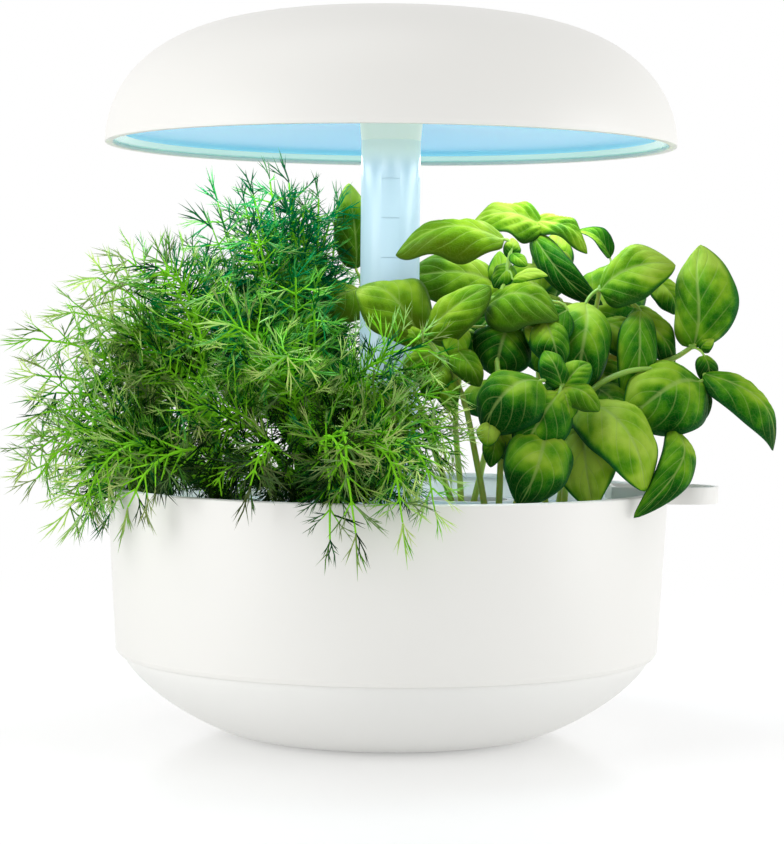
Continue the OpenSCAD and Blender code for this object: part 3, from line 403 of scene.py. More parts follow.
bm = bmesh.new()
bm.from_mesh(dome.data)
boss_low = PLATE_Z + PLATE_T
for azimuth in (45, 135, 225, 315):
    place = Matrix.Rotation(math.radians(azimuth), 4, "Z") @ Matrix.Translation(
        (BOSS_PITCH * MM, 0, (boss_low + BOSS_TOP) / 2 * MM))
    bmesh.ops.create_cone(bm, cap_ends=True, segments=24, radius1=BOSS_R * MM,
                          radius2=BOSS_R * MM, depth=(BOSS_TOP - boss_low) * MM, matrix=place)
bm.to_mesh(dome.data)
bm.free()
smooth_mesh(dome.data, 50)
shown(dome, "lamp", "shell_white", "lamp_dome")

# %% [markdown]
# ## Under the lamp
# The panel is a shallow dish of glossy plastic over the LEDs. A metallised ring holds its edge,
# and the flared collar of the lamp's socket comes down through its middle.

# %% Panel, ring and socket
PANEL_EDGE_Z, PANEL_MID_Z, PANEL_T = 334.5, 343.0, 2.0
RING_OUT_R = 156.8
PANEL_R = RING_OUT_R - 3.8
SHELF_W = 3.2


def collar_r(z):
    """Outer radius of the lamp's flared collar."""
    return COL_R + 1.75 * (z - UPPER_TOP) / (BOARD_Z - UPPER_TOP)


def dish(offset, steps=24):
    """The panel's gently curved section between its hole and its edge."""
    hole = collar_r(PANEL_MID_Z + PANEL_T) + FIT
    edge = PANEL_R - SHELF_W - 0.2
    return [(hole + (edge - hole) * k / steps,
             PANEL_MID_Z + offset - (PANEL_MID_Z - PANEL_EDGE_Z) * k / steps)
            for k in range(steps + 1)]


panel_profile = dish(0) + [(PANEL_R, PANEL_EDGE_Z),
                           (PANEL_R, PANEL_EDGE_Z + PANEL_T)] + dish(PANEL_T)[::-1]
shown(lathe("light_panel_dish", panel_profile, panel_blue, bevel=0.3),
      "lamp", "panel_blue", "light_panel")

ring_top = PANEL_EDGE_Z + 3
ring_profile = [(DOME_R - LIP_W, lip_z), (RING_OUT_R, lip_z), (RING_OUT_R, ring_top),
                (PANEL_R + FIT, ring_top), (PANEL_R + FIT, PANEL_EDGE_Z),
                (PANEL_R - SHELF_W, PANEL_EDGE_Z)]
shown(lathe("panel_ring_chrome", ring_profile, reflector_chrome, bevel=0.2),
      "lamp", "reflector_chrome", "panel_ring")

COLLAR_R, COLLAR_Z = 34, 348.6
spigot_low = UPPER_TOP - SPIGOT_H
socket_profile = [(BORE_R, spigot_low), (SPIGOT_R, spigot_low), (SPIGOT_R, UPPER_TOP),
                  (COL_R, UPPER_TOP), (collar_r(COLLAR_Z), COLLAR_Z), (COLLAR_R, COLLAR_Z),
                  (COLLAR_R, PLATE_Z), (BORE_R, PLATE_Z)]
shown(lathe("lamp_socket_collar", socket_profile, column_clear, steps=FINE_STEPS, bevel=0.35),
      "lamp", "column_clear", "lamp_socket")

# %% Mode button: a dished cap on its stem
STEM_LOW, CLIP_LOW, CLIP_TOP = 365.3, 382.5, 383.9
button_top = APEX - 0.3
cap_low = button_top - 3.9
button_profile = [(0, button_top - 0.5), (4, button_top - 0.4), (7, button_top - 0.1),
                  (8.3, button_top), (BUTTON_R, button_top - 0.6), (BUTTON_R, cap_low),
                  (STEM_R, cap_low), (STEM_R, CLIP_TOP), (STEM_R + 1.4, CLIP_TOP),
                  (STEM_R + 1.4, CLIP_LOW), (STEM_R, CLIP_LOW), (STEM_R, STEM_LOW),
                  (0, STEM_LOW)]
shown(lathe("mode_button_cap", button_profile, button_grey, steps=64, bevel=0.3),
      "button", "button_grey", "mode_button")

# %% [markdown]
# ## Column
# Two height adapters stack on a short post. Each is a frosted tube with a spigot below and a
# socket above, and three fine marks on its front every 22 mm.

# %% Adapters and post
MARK_PITCH, MARK_W, MARK_H = 22.0, 10.0, 0.6


MARK_DEEP = 1.07


def adapter(node, low, high):
    """A tube with a spigot below, a socket above and three marks cut into its front."""
    profile = [(BORE_R, low - SPIGOT_H), (SPIGOT_R, low - SPIGOT_H), (SPIGOT_R, low),
               (COL_R, low), (COL_R, high), (SOCKET_R, high), (SOCKET_R, high - SOCKET_DEEP),
               (BORE_R, high - SOCKET_DEEP)]
    thing = lathe(node + "_tube", profile, column_clear, steps=FINE_STEPS, bevel=0.25)
    for k in (1, 2, 3):
        middle = high - k * MARK_PITCH
        cut_box(thing, (-MARK_W / 2, -COL_R - 1, middle - MARK_H / 2),
                (MARK_W / 2, -COL_R + MARK_DEEP, middle + MARK_H / 2))
    thing.data.set_sharp_from_angle(angle=math.radians(50))
    shown(thing, node, "column_clear", node)


adapter("lower_adapter", POST_TOP, LOWER_TOP)
adapter("upper_adapter", LOWER_TOP, UPPER_TOP)

FLANGE_R, FLANGE_T = 28, 3
CHANNEL = ((-3, 9.5, DECK_Z - 1), (3, 37.5, DECK_Z + 7))      # the inlet's lead comes in here
post_profile = [(BORE_R, DECK_Z), (FLANGE_R, DECK_Z), (FLANGE_R, DECK_Z + FLANGE_T),
                (COL_R, DECK_Z + FLANGE_T), (COL_R, POST_TOP), (SOCKET_R, POST_TOP),
                (SOCKET_R, POST_TOP - SOCKET_DEEP), (BORE_R, POST_TOP - SOCKET_DEEP)]
shown(lathe("column_post_tube", post_profile, column_clear, steps=FINE_STEPS, bevel=0.35,
            cutters=[CHANNEL]), "tray", "column_clear", "column_post")

# %% [markdown]
# ## Bowl
# The vessel holds the water. A straight skirt slips over it from the seam up, and both are
# notched at the rim for the pour lip and the inlet.

# %% Vessel, skirt and foot
NOTCHES = [((0, -20.3, NOTCH_FLOOR), (170, 20.3, 160)), ((-14.8, 0, NOTCH_FLOOR), (14.8, 170, 160))]

inside = vessel_r(LEDGE_Z) - WALL
ledge_foot = LEDGE_Z - 6
vessel_profile = [(0, FOOT_LIFT)] + base_curve(0) + [
    (VESSEL_TOP_R, VESSEL_TOP_Z), (VESSEL_TOP_R - WALL, VESSEL_TOP_Z), (inside, LEDGE_Z),
    (inside - LEDGE_W, LEDGE_Z), (inside - LEDGE_W, LEDGE_Z - LEDGE_T),
    (vessel_r(ledge_foot) - WALL, ledge_foot)
] + base_curve(WALL)[::-1] + [(0, FOOT_LIFT + WALL)]
shown(lathe("vessel_shell", vessel_profile, vessel_white, bevel=0.3, cutters=NOTCHES),
      "bowl", "vessel_white", "reservoir_bowl")

SKIRT_TOP_R = 150.9
low_in = vessel_r(SEAM_Z) + FIT
skirt_profile = [(low_in, SEAM_Z), (low_in + 2.2, SEAM_Z + 0.6), (low_in + 4.0, SEAM_Z + 3.1),
                 (RIM_R, RIM_Z - 1.2), (RIM_R - 0.36, RIM_Z - 0.36), (RIM_R - 1.2, RIM_Z),
                 (SKIRT_TOP_R, RIM_Z), (SKIRT_TOP_R, VESSEL_TOP_Z),
                 (VESSEL_TOP_R + FIT, VESSEL_TOP_Z)]
shown(lathe("skirt_shell", skirt_profile, shell_white, bevel=0.35, cutters=NOTCHES),
      "bowl", "shell_white", "bowl_skirt")

foot_profile = [(67, 0.6), (67.6, 0), (74.4, 0), (75, 0.6), (75, 2.2), (67, 2.2)]
shown(lathe("foot_ring_rubber", foot_profile, foot_rubber, bevel=0.2),
      "bowl", "foot_rubber", "foot_ring")

# %% Pour lip: a rounded trough with a fill hole
LIP_HALF, LIP_IN, LIP_END, LIP_WALL = 19.5, 127.0, 167.0, 2.5


def pour_lip_mesh(half, start, low, high):
    """A plate with a round outer end, from x = start to the lip's end."""
    bm = bmesh.new()
    a = bm.verts.new((LIP_END * MM, -half * MM, low * MM))
    arc = bmesh.ops.spin(bm, geom=[a], cent=(LIP_END * MM, 0, low * MM), axis=(0, 0, 1),
                         angle=math.pi, steps=32)
    last = [g for g in arc["geom_last"] if isinstance(g, bmesh.types.BMVert)][0]
    b = bm.verts.new((start * MM, half * MM, low * MM))
    c = bm.verts.new((start * MM, -half * MM, low * MM))
    for pair in ((last, b), (b, c), (c, a)):
        bm.edges.new(pair)
    face = bmesh.ops.contextual_create(bm, geom=bm.edges[:])["faces"]
    up = bmesh.ops.extrude_face_region(bm, geom=face)["geom"]
    bmesh.ops.translate(bm, vec=(0, 0, (high - low) * MM),
                        verts=[g for g in up if isinstance(g, bmesh.types.BMVert)])
    bmesh.ops.recalc_face_normals(bm, faces=bm.faces)
    return bm


lip = finish_mesh("pour_lip_trough", pour_lip_mesh(LIP_HALF, LIP_IN, LIP_LOW, LIP_TOP), shell_white)
sleeve = finish_mesh("sleeve", box_mesh((124.5, -LIP_HALF, DECK_Z), (150, LIP_HALF, LIP_TOP)),
                     shell_white)
applied(lip, "BOOLEAN", object=sleeve, operation="UNION", solver="EXACT")
bpy.data.objects.remove(sleeve)
cut_with(lip, pour_lip_mesh(LIP_HALF - LIP_WALL, LIP_IN, LIP_TOP - 7, LIP_TOP + 5))
cut_box(lip, (LIP_IN, -LIP_HALF + LIP_WALL, DECK_Z - 2), (145, LIP_HALF - LIP_WALL, LIP_TOP + 4))
applied(lip, "BEVEL", width=0.9 * MM, segments=3, limit_method="ANGLE",
        angle_limit=math.radians(40))
smooth_mesh(lip.data, 40)
shown(lip, "tray", "shell_white", "pour_lip")

# %% [markdown]
# ## Parts that keep the solid model's shape
# The tray, the pump, the leads, the boards and the LEDs are shown as they were modelled. Most sit
# inside and show only when the lamp or the tray is lifted, so a finish is all they need.

# %% Finishes on the solid model's parts
KEPT = [
    # finish, colour, roughness, what else sets it apart, the parts that take it
    ("tray_white", (196, 226, 238), 0.12, dict(bump=0.01),
     "grow_tray float_guide water_manifold pump_hanger"),
    ("screw_steel", (176, 178, 180), 0.32, dict(Metallic=1.0), "post_screws lamp_screws"),
    ("contact_brass", (206, 174, 96), 0.28, dict(Metallic=1.0),
     "base_contacts lower_adapter_contacts upper_adapter_contacts lamp_contacts"),
    ("float_orange", (232, 92, 32), 0.5, dict(drift=0.08, bump=0.1), "level_float"),
    ("tube_clear", (214, 228, 232), 0.15, dict(Coat_Weight=0.4), "riser_tube"),
    ("pump_dark", (52, 55, 58), 0.45, dict(drift=0.1, grain=1400, bump=0.15),
     "pump_housing pump_cover pump_strainer"),
    ("stator_copper", (170, 96, 52), 0.35, dict(drift=0.2, Metallic=0.9), "pump_stator"),
    ("foam_grey", (70, 74, 78), 0.95, dict(drift=0.5, bump=1.0), "filter_foam"),
    ("lead_black", (30, 30, 31), 0.55, {}, "pump_lead"),
    ("lead_white", (222, 222, 219), 0.5, {}, "power_lead"),
    ("impeller_grey", (160, 164, 168), 0.4, {}, "impeller"),
    ("magnet_ferrite", (52, 52, 55), 0.5, dict(drift=0.2, bump=0.2), "rotor_magnet"),
    ("shaft_ceramic", (240, 240, 236), 0.12, {}, "rotor_shaft"),
    ("cup_white", (216, 224, 225), 0.4, {}, "capsule_cup_"),
    ("plug_brown", (74, 50, 34), 0.95, dict(drift=0.9, grain=700, bump=1.0), "growing_plug_"),
    ("plate_aluminium", (196, 198, 202), 0.35, dict(Metallic=1.0), "heat_plate"),
    ("board_white", (232, 232, 228), 0.4, {}, "led_board"),
    ("led_white", (250, 240, 190), 0.15,
     dict(Emission_Strength=0.6, Emission_Color=rgb(255, 250, 235)), "leds_white"),
    ("led_red", (230, 60, 40), 0.15, {}, "leds_red"),
    ("led_blue", (60, 90, 230), 0.15, {}, "leds_blue"),
    ("board_green", (36, 112, 72), 0.35, dict(drift=0.15), "control_board"),
]
dressed = []
for name, color, roughness, rest, parts in KEPT:
    finish = moulded(name, rgb(*color), roughness, **rest)
    for part in parts.split():
        numbered = [f"{part}{k}" for k in range(1, 7)] if part.endswith("_") else [part]
        dressed += [(node, finish) for node in numbered]
dressed.append(("dc_inlet", shell_white))
for node, finish in dressed:
    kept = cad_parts[node]
    kept.data.materials.clear()
    kept.data.materials.append(finish)
print(len(dressed), "solid-model parts have their finish")

# %% [markdown]
# ## Basil
# Each blade is a fine grid bent into a leaf: an ovate outline, a bowed midrib, sides that droop or
# cup, and a quilted surface that puffs up between sunken side veins. A thin shell gives it an
# underside with a paler finish of its own. Stems and leaf stalks are swept tubes.

# %% Leaf finish
VEINS = 5.0          # side veins along a leaf
VEIN_SLANT = 0.5     # how far a side vein runs forward on its way to the margin
VEIN_CELLS = 26.0    # cells of the fine net along a leaf


def build_veins():
    """Masks and relief of a leaf from its UVs: u runs along the midrib, v across it."""
    tree, given, out = group(
        "leaf_veins", [("Cells", "Float", VEIN_CELLS)],
        [(label, "Float") for label in ("Midrib", "Side", "Mesh", "Height", "Edge")])

    def do(*sums):
        return maths(tree, *sums)

    sheet = add(tree, "ShaderNodeUVMap").outputs[0]
    along, crossing = add(tree, "ShaderNodeSeparateXYZ", {0: sheet}).outputs[:2]
    across = do("ABSOLUTE", do("MULTIPLY_ADD", crossing, 2.0, -1.0))
    run = do("MULTIPLY", do("SUBTRACT", along, do("MULTIPLY", across, VEIN_SLANT)), VEINS)
    saw = do("ABSOLUTE", do("MULTIPLY_ADD", do("FRACT", run), 2.0, -1.0))
    cells = add(tree, "ShaderNodeTexVoronoi", {"Scale": given["Cells"], "Vector": sheet},
                feature="DISTANCE_TO_EDGE")
    midrib = smooth(tree, across, 0.07, 0.012)
    side = do("MULTIPLY", smooth(tree, saw, 0.82, 1.0), smooth(tree, across, 1.0, 0.5))
    net = smooth(tree, cells.outputs["Distance"], 0.09, 0.0)
    low = do("ADD", do("ADD", midrib, do("MULTIPLY", side, 0.7)), do("MULTIPLY", net, 0.25))
    for label, value in (("Midrib", midrib), ("Side", side), ("Mesh", net),
                         ("Height", do("SUBTRACT", 1.0, low)),
                         ("Edge", smooth(tree, across, 0.8, 1.0))):
        tree.links.new(value, out.inputs[label])
    return tree


LEAF_VEINS = build_veins()
PALER = (("Side", 0.34), ("Midrib", 0.55), ("Mesh", 0.1))    # how far each vein mask is seen
OLIVE = rgb(112, 130, 4)
SHADOW = (0.0, 0.010, 0.001, 1)
# Painted sheen: a pale grey-green for the white surroundings reflected near a leaf's margins.
PAINTED_SHEEN = rgb(150, 192, 140)
SHINE_THROUGH = (1.0, 1.0, 0.4, 1)     # light that comes through a leaf turns yellower


def leaf_finish(name, greens, vein, painted_rim_shade, gloss, coat_and_painted_sheen, through, shade=1.0):
    """A leaf's finish: greens from old to young, lighter where it faces up (painted top light),
    paler veins, a cool rim of painted shade, pale patches of painted sheen near the margins,
    painted shade on leaves set in shade (shade scales it), a soft gloss, and some light let
    through."""
    material, tree, principled = new_finish(
        name, Roughness=gloss, Specular_IOR_Level=0.12, Specular_Tint=(0.15, 0.9, 0.1, 1),
        Coat_Roughness=0.2)
    veins = add(tree, "ShaderNodeGroup", node_tree=LEAF_VEINS)
    veins.inputs["Cells"].default_value = VEIN_CELLS
    veins = veins.outputs
    age, dark, olive = read_traits(tree)[:3]
    place = add(tree, "ShaderNodeTexCoord").outputs["Object"]

    def do(*sums, **settings):
        return maths(tree, *sums, **settings)

    def noise(scale, detail, **more):
        return add(tree, "ShaderNodeTexNoise",
                   {"Vector": place, "Scale": scale, "Detail": detail, **more}).outputs["Fac"]

    # Painted light: faces that look up are made lighter and yellower, faces that look down darker,
    # as if lit from above.
    way = add(tree, "ShaderNodeNewGeometry").outputs["Normal"]
    painted_top_light = add(tree, "ShaderNodeSeparateXYZ", {0: way}).outputs[2]
    drift = do("MULTIPLY", do("SUBTRACT", noise(48.0, 2.5, Roughness=0.6), 0.5), 1.9)
    age = do("ADD", do("ADD", age, drift), do("MULTIPLY", painted_top_light, 0.55))
    # Painted shade: the margins, which curl down, are darkened and tinted a cool teal.
    age = do("SUBTRACT", age, do("MULTIPLY", veins["Edge"], 0.45), use_clamp=True)
    color = color_ramp(tree, age, greens)
    for mask, share in PALER:
        color = blend(tree, do("MULTIPLY", veins[mask], share), color, vein)
    color = blend(tree, do("MULTIPLY", veins["Edge"], 0.45), color, painted_rim_shade)
    color = blend(tree, do("MULTIPLY", olive, 0.5), color, OLIVE)
    # Painted shade: each leaf's own shade value darkens it towards near black, less on its
    # underside.
    color = blend(tree, do("MULTIPLY", dark, shade), color, SHADOW)
    # The sheen noise sets the real coat's weight; near the margins it also paints patches of pale
    # sheen.
    sheen = do("MULTIPLY", do("SUBTRACT", noise(30.0, 1.0), 0.5), 5.0, use_clamp=True)
    painted_sheen_mask = do("MULTIPLY", do("MULTIPLY", sheen, veins["Edge"]), 0.5 * coat_and_painted_sheen)
    color = blend(tree, painted_sheen_mask, color, PAINTED_SHEEN)
    relief = {"Distance": 0.0006}
    for height, strength in ((veins["Height"], 0.5), (noise(700.0, 2.0), 0.08)):
        bump = add(tree, "ShaderNodeBump", {"Height": height, "Strength": strength, **relief})
        relief["Normal"] = bump.outputs[0]
    tree.links.new(color, principled.inputs["Base Color"])
    tree.links.new(do("MULTIPLY", sheen, coat_and_painted_sheen), principled.inputs["Coat Weight"])
    tree.links.new(relief["Normal"], principled.inputs["Normal"])
    glow = add(tree, "ShaderNodeBsdfTranslucent",
               {"Color": blend(tree, 1.0, color, SHINE_THROUGH, "MULTIPLY"),
                "Normal": relief["Normal"]})
    mix_surface(tree, through, principled.outputs[0], glow.outputs[0])
    return material


GREENS = [rgb(0, 26, 4), rgb(0, 62, 4), rgb(18, 104, 2), rgb(86, 164, 4), rgb(158, 212, 30)]
PALE_GREENS = [rgb(4, 74, 12), rgb(34, 112, 16), rgb(90, 156, 22), rgb(148, 194, 44),
               rgb(180, 212, 76)]
# Each leaf finish's fourth colour is the cool teal of its painted rim shade.
basil_green = leaf_finish("basil_green", GREENS, rgb(140, 188, 56), rgb(0, 88, 52),
                          0.32, 0.6, 0.16)
basil_under = leaf_finish("basil_under", PALE_GREENS, rgb(176, 204, 110), rgb(40, 112, 60),
                          0.55, 0.03, 0.3, shade=0.3)
basil_stem = moulded("basil_stem", rgb(136, 178, 66), 0.4, drift=0.5, grain=500, bump=0.1,
                     Subsurface_Weight=0.1)

# %% Leaf shape
LEAF_ALONG, LEAF_ACROSS = 40, 18
LEAF_THICK = 0.45 * MM
FACING = (0.1, -0.8, 0.6)


def half_width(u):
    """Half width of an ovate leaf, as a share of its widest, at u along its midrib."""
    if u < 0.4:
        return math.sqrt(max(0.0, 1 - ((0.4 - u) / 0.4) ** 2)) ** 0.9
    return max(0.0, 1 - ((u - 0.4) / 0.6) ** 2) ** 0.85


def leaf(bm, base, tip, width, facing=FACING, cup=0.5, bow=0.16, sweep=0.0, twist=0.0,
         wave=0.05, curl=0.12, puff=0.04, age=0.5, dark=0.0, olive=0.0, dice=random):
    """Adds one blade from base to tip, in mm. cup drops its sides, bow lifts its middle, sweep
    bends it sideways, twist turns it along its length and curl rolls its tip under."""
    base, tip = Vector(base) * MM, Vector(tip) * MM
    along = tip - base
    length = along.length
    along.normalize()
    side = along.cross(Vector(facing)).normalized()
    place = Matrix((along, side, side.cross(along))).transposed().to_4x4()
    place = Matrix.Translation(base) @ place
    blade = bmesh.new()
    blade.loops.layers.uv.new("UVMap")
    traits = blade.verts.layers.float_color.new("traits")
    bmesh.ops.create_grid(blade, x_segments=LEAF_ALONG, y_segments=LEAF_ACROSS, size=1,
                          calc_uvs=True)
    wide = width / 2 * MM
    phases = [dice.uniform(0, 2 * math.pi) for _ in range(4)]
    turns = [dice.uniform(1.2, 2.2) for _ in range(2)]
    for vert in blade.verts:
        u, t = (vert.co.x + 1) / 2, vert.co.y
        share = half_width(u)
        out = abs(t)
        hand = 0 if t < 0 else 1
        ripple = math.sin(turns[hand] * 2 * math.pi * u + phases[hand])
        run = VEINS * (u - VEIN_SLANT * out)
        quilt = math.sin(math.pi * run) ** 2 * out * (1 - out) * 2 * share
        roll = max(0.05, abs(cup) * 1.25)        # each half rolls down along an arc
        reach = wide * share * math.sin(roll * out) / math.sin(roll)
        drop = math.copysign(wide * share * (1 - math.cos(roll * out)) / math.sin(roll), cup)
        x = length * u
        y = math.copysign(reach, t) * (1 + 0.03 * ripple)
        z = (length * bow * 4 * u * (1 - u) - drop + wave * width * MM * out * out * ripple * share
             + 2 * puff * width * MM * quilt
             + 0.02 * width * MM * share * math.sin(7 * u + 4 * t + phases[2])
             - 0.07 * width * MM * (1 - out) ** 4 * share)
        if curl:
            x -= abs(curl) * length * 0.35 * u ** 4
            z -= curl * length * u ** 3
        y += sweep * length * 4 * u * (1 - u) * 0.5
        turn = twist * (u - 0.3)
        y, z = (y * math.cos(turn) - z * math.sin(turn), y * math.sin(turn) + z * math.cos(turn))
        vert.co = place @ Vector((x, y, z))
        vert[traits] = (age + 0.15 * math.sin(5 * u + phases[3]), dark, olive, 1)
    bmesh.ops.remove_doubles(blade, verts=blade.verts, dist=0.01 * MM)
    mesh = bpy.data.meshes.new("blade")
    blade.to_mesh(mesh)
    blade.free()
    bm.from_mesh(mesh)
    bpy.data.meshes.remove(mesh)


def tubes(name, routes, material, resolution=3):
    """Swept round stems: each route is a list of (point in mm, radius in mm), as one mesh."""
    curve = bpy.data.curves.new(name, "CURVE")
    curve.dimensions = "3D"
    curve.bevel_depth = MM
    curve.bevel_resolution = resolution - 1
    curve.resolution_u = 5
    curve.use_fill_caps = True
    for route in routes:
        spline = curve.splines.new("BEZIER")
        spline.bezier_points.add(len(route) - 1)
        for knot, (point, radius) in zip(spline.bezier_points, route):
            knot.co = Vector(point) * MM
            knot.radius = radius
            knot.handle_left_type = knot.handle_right_type = "AUTO"
    holder = add_object(name, curve)
    mesh = bpy.data.meshes.new_from_object(holder.evaluated_get(
        bpy.context.evaluated_depsgraph_get()))
    bpy.data.objects.remove(holder)
    mesh.name = name
    mesh.materials.clear()
    mesh.materials.append(material)
    mesh.shade_smooth()
    return add_object(name, mesh)


def nearest(stems, p):
    """The point along any of the stems that lies nearest to p."""
    spots = [Vector(a).lerp(Vector(b), t) for s in stems for a, b in zip(s, s[1:])
             for t in (0.4, 0.7, 1.0)]
    return min(spots, key=lambda q: (q - Vector(p)).length)

# %% Basil stems and leaves, in mm
PLANT_LOW = 119
